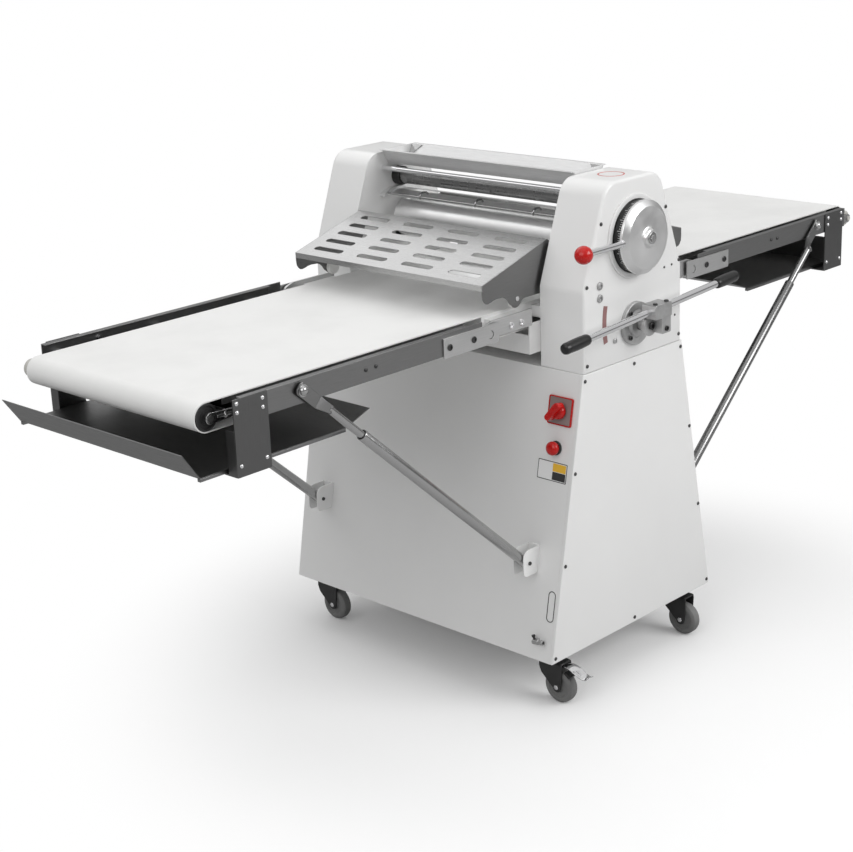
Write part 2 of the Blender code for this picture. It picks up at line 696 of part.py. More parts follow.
def strut_tube(side, end):
    """The lower half of a strut: a bored tube with a cross pin that turns in the clevis."""
    pin = Vector((side * CLEVIS_X, end * STRUT_Y, CLEVIS_Z))
    bolt = Vector((side * BOLT_X, end * STRUT_Y, BOLT_Z))
    along = (bolt - pin).normalized()
    tube = turned([(-0.010, 0.009), (-0.004, TUBE_R), (TUBE_LENGTH, TUBE_R)], pin, along)
    tube = cut(tube, rod(pin, along, 0.270, TUBE_LENGTH + 0.01, BORE_R))
    return union(tube, rod(pin, (0, 1, 0), -0.019, 0.019, 0.0041, 12)), pin


def strut_rod(side, end):
    """The upper half: a rod that slides in the tube, with a strap bent in to its bolt on the rail."""
    pin = Vector((side * CLEVIS_X, end * STRUT_Y, CLEVIS_Z))
    bolt = Vector((side * BOLT_X, end * STRUT_Y, BOLT_Z))
    along = (pin - bolt).normalized()
    shank = rod(bolt, along, 0.060, ROD_LENGTH, ROD_R)
    width = 0.0125
    flat = RAIL_Y + 0.0036
    strap = box(-width, 0.045, flat, flat + 0.004, -width, width)
    side = [(0.044, flat), (0.072, STRUT_Y - 0.004), (0.072, STRUT_Y + 0.004), (0.044, flat + 0.004)]
    bend = prism(side, "Z", -0.0080, 0.0080)
    strap = union(strap, bend)
    if end < 0:
        strap.data.transform(Matrix.Scale(-1, 4, (0, 1, 0)))
        strap.data.flip_normals()
    angle = math.atan2(-along.z, along.x)
    place = Matrix.Translation(Vector((bolt.x, 0, bolt.z))) @ Matrix.Rotation(angle, 4, "Y")
    strap.data.transform(place)
    on_axis = (bolt.x, 0, bolt.z)
    near, far = sorted((end * 0.2890, end * (flat + 0.001)))
    screw = rod(on_axis, (0, 1, 0), near, far, 0.0050, 12)
    near, far = sorted((end * 0.2875, end * (RAIL_Y - RAIL_SHEET - GAP)))
    nut = rod(on_axis, (0, 1, 0), near, far, 0.0085, 6)
    near, far = sorted((end * (flat + 0.003), end * (flat + 0.0055)))
    washer = rod(on_axis, (0, 1, 0), near, far, 0.0120, 16)
    near, far = sorted((end * (flat + 0.005), end * (flat + 0.0125)))
    head = rod(on_axis, (0, 1, 0), near, far, 0.0085, 6)
    return union(shank, strap, screw, nut, washer, head), bolt


def make_struts():
    for table, side in (("left", -1), ("right", 1)):
        for place, end in (("front", -1), ("rear", 1)):
            tube, pin = strut_tube(side, end)
            node(f"{table}_{place}_strut_tube", tube, STEEL, pin)
            shaft, bolt = strut_rod(side, end)
            node(f"{table}_{place}_strut_rod", shaft, STEEL, bolt)


# ---- guards ------------------------------------------------------------------------------------


def guard_slots(low, high):
    """Five rows of four rounded slots, cut square to the sloped plate."""
    rows = 5
    columns = 4
    pitch = 0.132
    half_width = 0.0075
    half_length = 0.043
    slope = math.atan2(high[1] - low[1], high[0] - low[0])
    tools = []
    for row in range(rows):
        share = (row + 0.85) / (rows + 0.55)
        x = low[0] + (high[0] - low[0]) * share
        z = low[1] + (high[1] - low[1]) * share
        for column in range(columns):
            y = (column - (columns - 1) / 2) * pitch
            straight = half_length - half_width
            outline = arc(0, straight, half_width, 0, 180, 3) + arc(0, -straight, half_width, 180, 360, 3)
            tool = prism(outline, "Z", -0.01, 0.01)
            tool.data.transform(Matrix.Translation((x, y, z)) @ Matrix.Rotation(-slope, 4, "Y"))
            tools.append(tool)
    return tools


def make_guard():
    """A slotted plate folded from stainless sheet, with a lip in front and a shaped wing at each end."""
    inner = (-0.133, 0.9770)
    front = (-0.333, 0.9180)
    drop = GUARD_SHEET
    top = [inner, front, (front[0], front[1] - 0.012), (front[0] + drop, front[1] - 0.012)]
    top += [(front[0] + drop, front[1] - drop), (inner[0], inner[1] - drop)]
    plate = cut(prism(top, "Y", -GUARD_HALF_Y, GUARD_HALF_Y), *guard_slots(front, inner))
    wing = [inner, front, (-0.333, 0.900), (-0.327, 0.882), (-0.316, 0.8775), (-0.300, 0.8815)]
    wing += [(-0.272, 0.8815), (-0.260, 0.876), (-0.252, 0.864)]
    wing += arc(-0.232, 0.8700, 0.0170, 220, 320, 6)
    wing += [(-0.200, 0.868), (-0.150, 0.868)]
    wing += arc(-GUARD_PIVOT[0], GUARD_PIVOT[1], 0.012, -60, 90, 5)
    parts = []
    for end in (-1, 1):
        near, far = sorted((end * (GUARD_HALF_Y - GUARD_SHEET), end * GUARD_HALF_Y))
        parts.append(prism(wing, "Y", near, far))
        near, far = sorted((end * (GUARD_HALF_Y - 0.001), end * (HOUSING_INNER_Y + 0.008)))
        parts.append(rod((-GUARD_PIVOT[0], 0, GUARD_PIVOT[1]), (0, 1, 0), near, far, 0.0050))
    return union(plate, *parts)


def make_guards():
    for name, turn in (("left_guard", False), ("right_guard", True)):
        pivot = (GUARD_PIVOT[0] if turn else -GUARD_PIVOT[0], 0, GUARD_PIVOT[1])
        guard = make_guard()
        if turn:
            guard = half_turned(guard)
        node(name, guard, STEEL, pivot)


# ---- casters -----------------------------------------------------------------------------------


def make_fork(x, y):
    """A swivel head, two cheeks and the wheel's axle."""
    wheel_y = y - CASTER_TRAIL
    head = turned([(0.0925, 0.024), (0.0990, 0.027), (0.1076, 0.027)], (x, y, 0), (0, 0, 1))
    inner = WHEEL_HALF_WIDTH + 0.0015
    crown = box(x - inner - 0.0025, x + inner + 0.0025, wheel_y - 0.014, y + 0.024, 0.0900, 0.0945)
    cheek = [(y + 0.024, 0.0945), (wheel_y - 0.014, 0.0945)]
    cheek += arc(wheel_y, WHEEL_R, 0.0115, 195, 345, 6) + [(y + 0.026, 0.075)]
    cheeks = []
    for side in (-1, 1):
        near, far = sorted((x + side * inner, x + side * (inner + 0.0025)))
        cheeks.append(prism(cheek, "X", near, far))
    axle = rod((x, wheel_y, WHEEL_R), (1, 0, 0), -inner - 0.005, inner + 0.005, 0.0045, 12)
    return union(head, crown, *cheeks, axle)


def make_wheel(x, y):
    """A plain tread wheel. One flat of the tread is square to the floor."""
    sides = 24
    corner = 1 / math.cos(math.pi / sides)
    half = WHEEL_HALF_WIDTH
    profile = [(-half, 0.0052), (-half, 0.0335), (-half + 0.0035, WHEEL_R * corner)]
    profile += [(half - 0.0035, WHEEL_R * corner), (half, 0.0335), (half, 0.0052)]
    return turned(profile, (x, y - CASTER_TRAIL, WHEEL_R), (1, 0, 0), sides, ring=True)


def make_brake_pedal(x, y):
    """The foot pedal of the operator's left caster, hinged over its wheel."""
    wheel_y = y - CASTER_TRAIL
    outline = [(wheel_y - 0.0165, 0.0890), (wheel_y - 0.0165, 0.0925), (wheel_y - 0.036, 0.0900)]
    outline += [(wheel_y - 0.066, 0.0770), (wheel_y - 0.078, 0.0790), (wheel_y - 0.078, 0.0760)]
    outline += [(wheel_y - 0.066, 0.0740), (wheel_y - 0.038, 0.0860)]
    return prism(outline, "X", x - 0.0145, x + 0.0145)


def make_casters():
    for table, side in (("left", -1), ("right", 1)):
        for place, end in (("front", -1), ("rear", 1)):
            x = side * CASTER_X
            y = end * CASTER_Y
            name = f"{place}_{table}_caster"
            node(f"{name}_fork", make_fork(x, y), DARK, (x, y, WHEEL_R))
            node(f"{name}_wheel", make_wheel(x, y), RUBBER, (x, y - CASTER_TRAIL, WHEEL_R))
    x = -CASTER_X
    y = -CASTER_Y
    hinge = (x, y - CASTER_TRAIL - 0.018, 0.0905)
    node("caster_brake_pedal", make_brake_pedal(x, y), STEEL, hinge)


def main():
    clear_scene()
    machine = bpy.data.objects.new("machine", None)
    machine.location = SHIFT
    bpy.context.scene.collection.objects.link(machine)
    make_cabinet()
    make_motor()
    for name, end in (("front", -1), ("rear", 1)):
        make_housing(f"{name}_housing", end)
        make_side_frame(f"{name}_side_frame", end)
    make_head_base()
    make_flour_tray()
    make_head_bars()
    make_scraper()
    make_rollers()
    make_dial()
    make_lever()
    make_switches()
    make_tables()
    make_struts()
    make_guards()
    make_casters()


main()
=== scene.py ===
"""Looks for the dough sheeter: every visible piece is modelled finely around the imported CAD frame.

Shapes are worked out about the middle of the head, as in the CAD part, and then moved to where the
CAD's lower roller lies. X runs along the belts, the operator stands at -Y.
"""

import math

import bmesh
import bpy
from mathutils import Matrix, Vector


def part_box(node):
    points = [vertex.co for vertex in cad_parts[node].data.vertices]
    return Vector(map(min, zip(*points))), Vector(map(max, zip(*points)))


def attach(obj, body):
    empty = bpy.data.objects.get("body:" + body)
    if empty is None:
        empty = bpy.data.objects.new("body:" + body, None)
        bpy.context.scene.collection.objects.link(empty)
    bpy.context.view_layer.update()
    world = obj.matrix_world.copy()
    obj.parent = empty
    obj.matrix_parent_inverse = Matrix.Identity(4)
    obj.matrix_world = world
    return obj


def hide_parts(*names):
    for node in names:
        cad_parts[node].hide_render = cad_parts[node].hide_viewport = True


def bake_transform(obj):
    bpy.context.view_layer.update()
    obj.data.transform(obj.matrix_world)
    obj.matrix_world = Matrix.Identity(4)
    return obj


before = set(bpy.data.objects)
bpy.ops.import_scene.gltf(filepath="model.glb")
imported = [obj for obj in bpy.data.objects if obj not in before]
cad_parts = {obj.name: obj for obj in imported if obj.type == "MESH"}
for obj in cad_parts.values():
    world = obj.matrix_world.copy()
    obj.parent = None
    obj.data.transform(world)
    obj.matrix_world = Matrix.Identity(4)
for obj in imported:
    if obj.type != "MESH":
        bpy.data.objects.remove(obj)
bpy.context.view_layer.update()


def middle(node):
    low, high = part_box(node)
    return (low + high) / 2


HEAD = middle("lower_roller") * Vector((1, 1, 0))


def near_head(node):
    """A CAD node's box, measured from the middle of the head."""
    low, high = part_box(node)
    return low - HEAD, high - HEAD


# ---- sizes read from the frame ---------------------------------------------------------------

shell_low = near_head("cabinet_shell")[0]
cover_low, cover_high = near_head("front_cover")
housing_high = near_head("front_housing")[1]
belt_low, belt_high = near_head("left_belt")
flour_low, flour_high = near_head("flour_tray")
wheel_low, wheel_high = near_head("front_left_caster_wheel")

FACE_Y = -cover_low.y
SCREW_R = 0.0040
SCREW_RISE = 0.0024
SHELL_Y = -shell_low.y
CABINET_LOW = cover_low.z
CABINET_TOP = cover_high.z
BOTTOM_X = cover_high.x
TOP_X = 0.169
HOUSING_IN = -housing_high.y
HEAD_R = housing_high.x
HEAD_TOP = housing_high.z
SHOULDER_Z = HEAD_TOP - 0.210
HEAD_LEAN = math.radians(20)
CORNER_R = 0.045
BELT_Y = belt_high.y
BELT_TOP = belt_high.z
LOOP_R = 0.028
LOOP_Z = BELT_TOP - LOOP_R
END_X = -belt_low.x - LOOP_R
DRUM_X = 0.095
HINGE_X = -belt_high.x
HINGE_Z = 0.825
RAIL_Y = 0.297
RAIL_LOW = 0.810
RAIL_TOP = 0.855
PLATE_OUTER = (1.006, 0.972)
PLATE_WIDTH = 0.079
STRUT_Y = 0.3125
STRUT_REACH = 0.507
CLEVIS_X = 0.272
CLEVIS_Z = HINGE_Z - math.sqrt(STRUT_REACH**2 - (HINGE_X - CLEVIS_X) ** 2)
BOLT_Z = 0.836
BOLT_X = HINGE_X + math.sqrt(STRUT_REACH**2 - (BOLT_Z - HINGE_Z) ** 2)
DIAL_Z = middle("dial_disc").z
LEVER_Z = middle("lever_flange").z
ROLLER_R = 0.044
UPPER_Z = middle("upper_roller").z
LOWER_Z = middle("lower_roller").z
WHEEL_R = wheel_high.z / 2
CASTER_X = (-wheel_low.x - wheel_high.x) / 2
CASTER_Y = 0.345
TRAIL = 0.022
GUARD_PIVOT = (0.122, 0.958)
WHOLE_TURN = 2 * math.pi
HALF_TURN = Matrix.Rotation(math.pi, 4, "Z")
SIDES = (("left", -1), ("right", 1))
ENDS = (("front", -1), ("rear", 1))
SHARP = 35
SHOULDER_BEND = 0.012
SHADOW_MIDDLE = (0.0, -0.25, 0.0)
SHADOW_REACH = (0.66, 1.22)
FLOOR_LIFT = 0.03
FLOOR_BOUNCE = (0.50, 0.50, 0.50)
SMALL_HOLES = ((0.104, 0.888), (0.130, 0.889), (0.116, 0.776), (0.142, 0.777))
LEVER_ARC = (0.075, 0.806, 0.168, 0.181)
WALL_GREYS = ((-1, 0.35), (-0.02, 0.35), (0.02, 0.18), (0.18, 0.22), (0.36, 0.55), (0.70, 0.62), (1, 0.62))


# ---- mesh building blocks ----------------------------------------------------------------------


def at_axis(axis, along, a, b):
    """A point from its place along an axis and its two other coordinates, in X, Y, Z order."""
    if axis == "X":
        return Vector((along, a, b))
    if axis == "Y":
        return Vector((a, along, b))
    return Vector((a, b, along))


def arc(cx, cz, radius, start, end, steps=8):
    points = []
    for i in range(steps + 1):
        angle = math.radians(start + (end - start) * i / steps)
        points.append((cx + radius * math.cos(angle), cz + radius * math.sin(angle)))
    return points


def add_loft(bm, loops, closed=False):
    """Skins equal loops of points. The two ends are filled unless the loops close on themselves."""
    rings = [[bm.verts.new(p) for p in loop] for loop in loops]
    pairs = list(zip(rings, rings[1:]))
    if closed:
        pairs.append((rings[-1], rings[0]))
    count = len(rings[0])
    for one, two in pairs:
        for i in range(count):
            j = (i + 1) % count
            bm.faces.new((one[i], one[j], two[j], two[i]))
    if not closed:
        bm.faces.new(list(reversed(rings[0])))
        bm.faces.new(rings[-1])
    return rings


def add_prism(bm, outline, axis, low, high):
    add_loft(bm, [[at_axis(axis, along, a, b) for a, b in outline] for along in (low, high)])


def add_plate(bm, outline, end, one, other):
    """A prism along Y between two distances from the middle, on one end's side."""
    add_prism(bm, outline, "Y", *sorted((end * one, end * other)))


def add_tube(bm, outer, inner, axis, low, high):
    """A prism with a hole: both outlines hold the same number of points."""
    loops = [
        [at_axis(axis, low, a, b) for a, b in outer],
        [at_axis(axis, high, a, b) for a, b in outer],
        [at_axis(axis, high, a, b) for a, b in inner],
        [at_axis(axis, low, a, b) for a, b in inner],
    ]
    add_loft(bm, loops, closed=True)


def add_box(bm, x0, x1, y0, y1, z0, z1):
    add_prism(bm, [(x0, y0), (x1, y0), (x1, y1), (x0, y1)], "Z", z0, z1)


def basis(axis):
    return Vector(axis).normalized().to_track_quat("Z", "Y").to_matrix()


def add_turned(bm, profile, centre, axis, sides=48, ring=False):
    """A turned solid from (distance along the axis, radius) pairs."""
    turn = basis(axis)
    loops = []
    for along, radius in profile:
        loop = []
        for i in range(sides):
            angle = WHOLE_TURN * (i + 0.5) / sides
            local = Vector((radius * math.cos(angle), radius * math.sin(angle), along))
            loop.append(Vector(centre) + turn @ local)
        loops.append(loop)
    add_loft(bm, loops, closed=ring)


def add_rod(bm, centre, axis, low, high, radius, sides=24, soft=0.0):
    """A round bar. soft rounds its two ends by that much."""
    profile = [(low, radius), (high, radius)]
    if soft:
        profile = [(low, radius - soft), (low + soft, radius), (high - soft, radius), (high, radius - soft)]
    add_turned(bm, profile, centre, axis, sides)


def rounded(x0, x1, z0, z1, radius, steps=5):
    """A rectangle's outline with round corners."""
    points = arc(x1 - radius, z1 - radius, radius, 0, 90, steps)
    points += arc(x0 + radius, z1 - radius, radius, 90, 180, steps)
    points += arc(x0 + radius, z0 + radius, radius, 180, 270, steps)
    points += arc(x1 - radius, z0 + radius, radius, 270, 360, steps)
    return points


def add_object(name, data):
    obj = bpy.data.objects.new(name, data)
    bpy.context.scene.collection.objects.link(obj)
    return obj


def placed_mesh(name, bm):
    """Moves a shape from the head's coordinates to the frame's and makes a mesh of it."""
    bm.transform(Matrix.Translation(HEAD))
    bmesh.ops.recalc_face_normals(bm, faces=bm.faces)
    mesh = bpy.data.meshes.new(name)
    bm.to_mesh(mesh)
    bm.free()
    return mesh


def smooth(mesh, sharp=SHARP):
    mesh.shade_smooth()
    mesh.set_sharp_from_angle(angle=math.radians(sharp))


def soften_edges(obj, width, segments=2, sharp=SHARP):
    edge = obj.modifiers.new("edges", "BEVEL")
    edge.width = width
    edge.segments = segments
    edge.limit_method = "ANGLE"
    edge.angle_limit = math.radians(sharp)
    edge.harden_normals = True


def piece(name, bm, look, body, stands_for=(), bevel=0.0, segments=2, sharp=SHARP, turn=False, spin=None):
    """Finishes a mesh: places it, smooths it, gives it its material and its body."""
    if spin:
        angle, axis, point = spin
        there = Matrix.Translation(Vector(point))
        bm.transform(there @ Matrix.Rotation(angle, 4, axis) @ there.inverted())
    if turn:
        bm.transform(HALF_TURN)
    mesh = placed_mesh(name, bm)
    smooth(mesh, sharp)
    material, slot = LOOKS[look]
    mesh.materials.append(material)
    obj = add_object(name, mesh)
    if bevel:
        soften_edges(obj, bevel, segments, sharp)
    if body:
        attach(obj, body)
    if stands_for:
        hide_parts(*stands_for)
    return obj


def cut_out(obj, bm):
    """Cuts shapes, built in the head's coordinates, out of a piece that has no modifier yet."""
    cutter = add_object("cutter", placed_mesh("cutter", bm))
    modifier = obj.modifiers.new("cut", "BOOLEAN")
    modifier.object = cutter
    modifier.operation = "DIFFERENCE"
    modifier.solver = "EXACT"
    graph = bpy.context.evaluated_depsgraph_get()
    result = bpy.data.meshes.new_from_object(obj.evaluated_get(graph))
    obj.modifiers.clear()
    obj.data = result
    smooth(result)
    bpy.data.objects.remove(cutter, do_unlink=True)


def skin_y(end):
    """Distance of an outer face from the middle: the rear one is set in by the height of its screws."""
    return FACE_Y if end < 0 else FACE_Y - SCREW_RISE


def add_screw(bm, place, axis, radius):
    """A domed head with a cross of two thin bars in its crown."""
    height = radius * 0.55
    dome = [(0, radius), (height * 0.45, radius), (height * 0.8, radius * 0.86), (height, radius * 0.55)]
    dome += [(height, radius * 0.30), (height * 0.35, radius * 0.16)]
    add_turned(bm, dome, place, axis, 20)
    turn = basis(axis)
    for quarter in range(2):
        angle = math.pi / 2 * quarter + 0.4
        along = turn @ Vector((math.cos(angle), math.sin(angle), 0))
        middle_point = Vector(place) + turn @ Vector((0, 0, height * 0.86))
        add_rod(bm, middle_point, along, -radius * 0.42, radius * 0.42, radius * 0.10, 6)


def add_hex(bm, place, axis, radius, height):
    """A bolt's hex head with a chamfered crown."""
    turn = basis(axis)
    loops = []
    for along, share in ((0, 1.0), (height * 0.8, 1.0), (height, 0.86)):
        loop = []
        for i in range(6):
            angle = WHOLE_TURN * i / 6
            local = Vector((radius * share * math.cos(angle), radius * share * math.sin(angle), along))
            loop.append(Vector(place) + turn @ local)
        loops.append(loop)
    add_loft(bm, loops)


def add_socket_screw(bm, place, axis, radius, height):
    """A cap screw with a socket in its head."""
    profile = [(0, radius), (height * 0.9, radius), (height, radius * 0.9), (height, radius * 0.55)]
    profile += [(height * 0.35, radius * 0.5), (height * 0.35, radius * 0.02)]
    add_turned(bm, profile, place, axis, 24)


def add_path(bm, points, radius, sides=10):
    """A bar of one radius along a list of points."""
    loops = []
    for i, point in enumerate(points):
        ahead = Vector(points[min(i + 1, len(points) - 1)]) - Vector(points[max(i - 1, 0)])
        turn = basis(ahead)
        loop = []
        for k in range(sides):
            angle = WHOLE_TURN * k / sides
            loop.append(
                Vector(point) + turn @ Vector((radius * math.cos(angle), radius * math.sin(angle), 0))
            )
        loops.append(loop)
    add_loft(bm, loops)


# ---- materials -----------------------------------------------------------------------------------


def add_node(tree, kind, **inputs):
    """A shader node with its plain values. An underscore in a name stands for a space."""
    node = tree.nodes.new("ShaderNode" + kind)
    for name, value in inputs.items():
        node.inputs[name.replace("_", " ")].default_value = value
    return node


def grey(level):
    return (level, level, level)


class Look:
    """A Principled material with helpers for the fine structure."""

    def __init__(self, name, colour, roughness, metallic=0.0):
        self.material = bpy.data.materials.new(name)
        self.material.use_nodes = True
        self.tree = self.material.node_tree
        self.link = self.tree.links.new
        self.shader = self.tree.nodes["Principled BSDF"]
        self.value("Base Color", (*colour, 1))
        self.value("Roughness", roughness)
        self.value("Metallic", metallic)
        self.colour = colour
        self.normal = None

    def add(self, kind, **inputs):
        return add_node(self.tree, kind, **inputs)

    def from_object(self, node):
        self.link(self.add("TexCoord").outputs["Object"], node.inputs["Vector"])
        return node.outputs

    def noise(self, scale, stretch=(1, 1, 1), detail=4.0):
        mapped = self.from_object(self.add("Mapping", Scale=stretch))
        texture = self.add("TexNoise", Scale=scale, Detail=detail, Roughness=0.55)
        self.link(mapped["Vector"], texture.inputs["Vector"])
        return texture.outputs["Fac"]

    def weave(self, scale, direction):
        texture = self.add("TexWave", Scale=scale, Distortion=0.0)
        texture.bands_direction = direction
        return self.from_object(texture)["Fac"]

    def ranged(self, source, low, high, start=0.3, end=0.7):
        node = self.add("MapRange", From_Min=start, From_Max=end, To_Min=low, To_Max=high)
        self.link(source, node.inputs["Value"])
        return node.outputs["Result"]

    def vary_roughness(self, source, low, high):
        self.link(self.ranged(source, low, high), self.shader.inputs["Roughness"])

    def vary_colour(self, source, other, start=0.3, end=0.7):
        mix = self.tree.nodes.new("ShaderNodeMix")
        mix.data_type = "RGBA"
        mix.inputs["A"].default_value = (*self.colour, 1)
        mix.inputs["B"].default_value = (*other, 1)
        self.link(self.ranged(source, 0, 1, start, end), mix.inputs["Factor"])
        self.link(mix.outputs["Result"], self.shader.inputs["Base Color"])

    def bump(self, source, distance, strength):
        node = self.add("Bump", Distance=distance, Strength=strength)
        self.link(source, node.inputs["Height"])
        if self.normal:
            self.link(self.normal, node.inputs["Normal"])
        self.normal = node.outputs["Normal"]
        self.link(self.normal, self.shader.inputs["Normal"])

    def value(self, name, number):
        self.shader.inputs[name].default_value = number


def powder_coat(name, colour):
    """Smooth powder coat: orange peel a millimetre across and faint handling marks."""
    look = Look(name, colour, 0.36)
    look.value("Coat Weight", 0.25)
    look.value("Coat Roughness", 0.18)
    look.vary_roughness(look.noise(9, detail=6), 0.30, 0.44)
    look.vary_colour(look.noise(3.5, detail=5), tuple(c * 0.965 for c in colour))
    look.bump(look.noise(850, detail=2), 0.00006, 0.35)
    return look.material


def brushed(name, colour, along, roughness=0.30):
    """Brushed sheet: grain a few tenths of a millimetre wide and centimetres long."""
    stretch = {"X": (0.02, 1, 1), "Y": (1, 0.02, 1), "Z": (1, 1, 0.02)}[along]
    look = Look(name, colour, roughness, 1.0)
    grain = look.noise(1400, stretch, 3)
    look.vary_roughness(grain, roughness - 0.04, roughness + 0.06)
    look.vary_colour(grain, tuple(c * 0.90 for c in colour))
    look.bump(grain, 0.000012, 0.25)
    return look.material


def polished(name, colour, roughness):
    """Polished metal with faint wiping marks."""
    look = Look(name, colour, roughness, 1.0)
    look.vary_roughness(look.noise(30, detail=6), roughness - 0.02, roughness + 0.05)
    look.bump(look.noise(120, (1, 0.2, 1), 2), 0.00001, 0.12)
    return look.material


def turned_metal(name):
    """Lathe-turned aluminium: rings about the dial's axis."""
    look = Look(name, grey(0.78), 0.34, 1.0)
    shifted = look.from_object(look.add("Mapping", Location=-Vector((HEAD.x, HEAD.y, DIAL_Z))))
    rings = look.add("TexWave", Scale=260, Distortion=0.6)
    rings.wave_type = "RINGS"
    rings.rings_direction = "Y"
    look.link(shifted["Vector"], rings.inputs["Vector"])
    look.bump(rings.outputs["Fac"], 0.00004, 0.35)
    look.vary_roughness(look.noise(40, detail=5), 0.28, 0.42)
    return look.material


def cast_metal(name):
    look = Look(name, grey(0.58), 0.40, 1.0)
    look.vary_roughness(look.noise(60, detail=6), 0.34, 0.55)
    look.vary_colour(look.noise(25, detail=6), grey(0.42))
    look.bump(look.noise(380, detail=4), 0.00025, 0.5)
    return look.material


def moulded(name, colour, roughness, coat=0.0):
    """Moulded plastic with a fine mould texture."""
    look = Look(name, colour, roughness)
    look.value("Coat Weight", coat)
    look.value("Coat Roughness", 0.08)
    look.value("Specular IOR Level", 0.30)
    look.vary_roughness(look.noise(70, detail=5), roughness - 0.06, roughness + 0.08)
    look.bump(look.noise(700, detail=3), 0.00005, 0.3)
    return look.material


def belt_fabric(name):
    """Coated woven belt: a plain weave a millimetre across under a thin coat, with flour marks."""
    look = Look(name, (0.79, 0.79, 0.78), 0.62)
    look.value("Sheen Weight", 0.12)
    look.value("Sheen Roughness", 0.5)
    look.vary_colour(look.noise(6, detail=6), (0.73, 0.73, 0.72), 0.42, 0.75)
    look.vary_roughness(look.noise(14, detail=6), 0.52, 0.72)
    for direction in "XY":
        look.bump(look.weave(320, direction), 0.00007, 0.35)
    return look.material


def painted_dark(name, colour, roughness=0.45, metallic=0.5):
    look = Look(name, colour, roughness, metallic)
    look.vary_roughness(look.noise(35, detail=6), roughness - 0.08, roughness + 0.12)
    look.vary_colour(look.noise(12, detail=6), tuple(c * 0.6 for c in colour))
    look.bump(look.noise(500, detail=3), 0.00006, 0.35)
    return look.material


def rubber(name):
    look = Look(name, grey(0.15), 0.62)
    look.vary_roughness(look.noise(50, detail=6), 0.5, 0.78)
    look.vary_colour(look.noise(18, detail=6), (0.205, 0.205, 0.20))
    look.bump(look.noise(600, detail=4), 0.00012, 0.5)
    return look.material


def printed(name, colour):
    look = Look(name, colour, 0.4)
    look.vary_roughness(look.noise(40), 0.34, 0.5)
    look.bump(look.noise(500), 0.00003, 0.2)
    return look.material


def mixed(tree, factor, first, second):
    mix = add_node(tree, "MixShader")
    for source, socket in ((factor, 0), (first, 1), (second, 2)):
        tree.links.new(source, mix.inputs[socket])
    return mix.outputs["Shader"]


def floor_look():
    """White studio floor: it catches the soft shadow round the machine and fades into the background.

    Only the camera sees that floor. To all other rays it is a plain grey one, so the underside of the
    machine stays dark.
    """
    look = Look("floor", grey(0.93), 0.9)
    tree = look.tree
    tree.nodes.remove(look.shader)
    shifted = look.from_object(look.add("Mapping", Location=-(HEAD + Vector(SHADOW_MIDDLE))))
    distance = look.add("VectorMath")
    distance.operation = "LENGTH"
    look.link(shifted["Vector"], distance.inputs[0])
    fade = look.add("MapRange", From_Min=SHADOW_REACH[0], From_Max=SHADOW_REACH[1])
    fade.interpolation_type = "SMOOTHSTEP"
    look.link(distance.outputs["Value"], fade.inputs["Value"])
    near = look.add("BsdfDiffuse", Color=(0.93, 0.93, 0.93, 1))
    lift = look.add("Emission", Strength=FLOOR_LIFT)
    white = look.add("Emission")
    bounce = look.add("BsdfDiffuse", Color=(*FLOOR_BOUNCE, 1))
    lit = look.add("AddShader")
    look.link(near.outputs["BSDF"], lit.inputs[0])
    look.link(lift.outputs["Emission"], lit.inputs[1])
    seen = mixed(tree, fade.outputs["Result"], lit.outputs["Shader"], white.outputs["Emission"])
    to_camera = look.add("LightPath").outputs["Is Camera Ray"]
    final = mixed(tree, to_camera, bounce.outputs["BSDF"], seen)
    look.link(final, tree.nodes["Material Output"].inputs["Surface"])
    return look.material


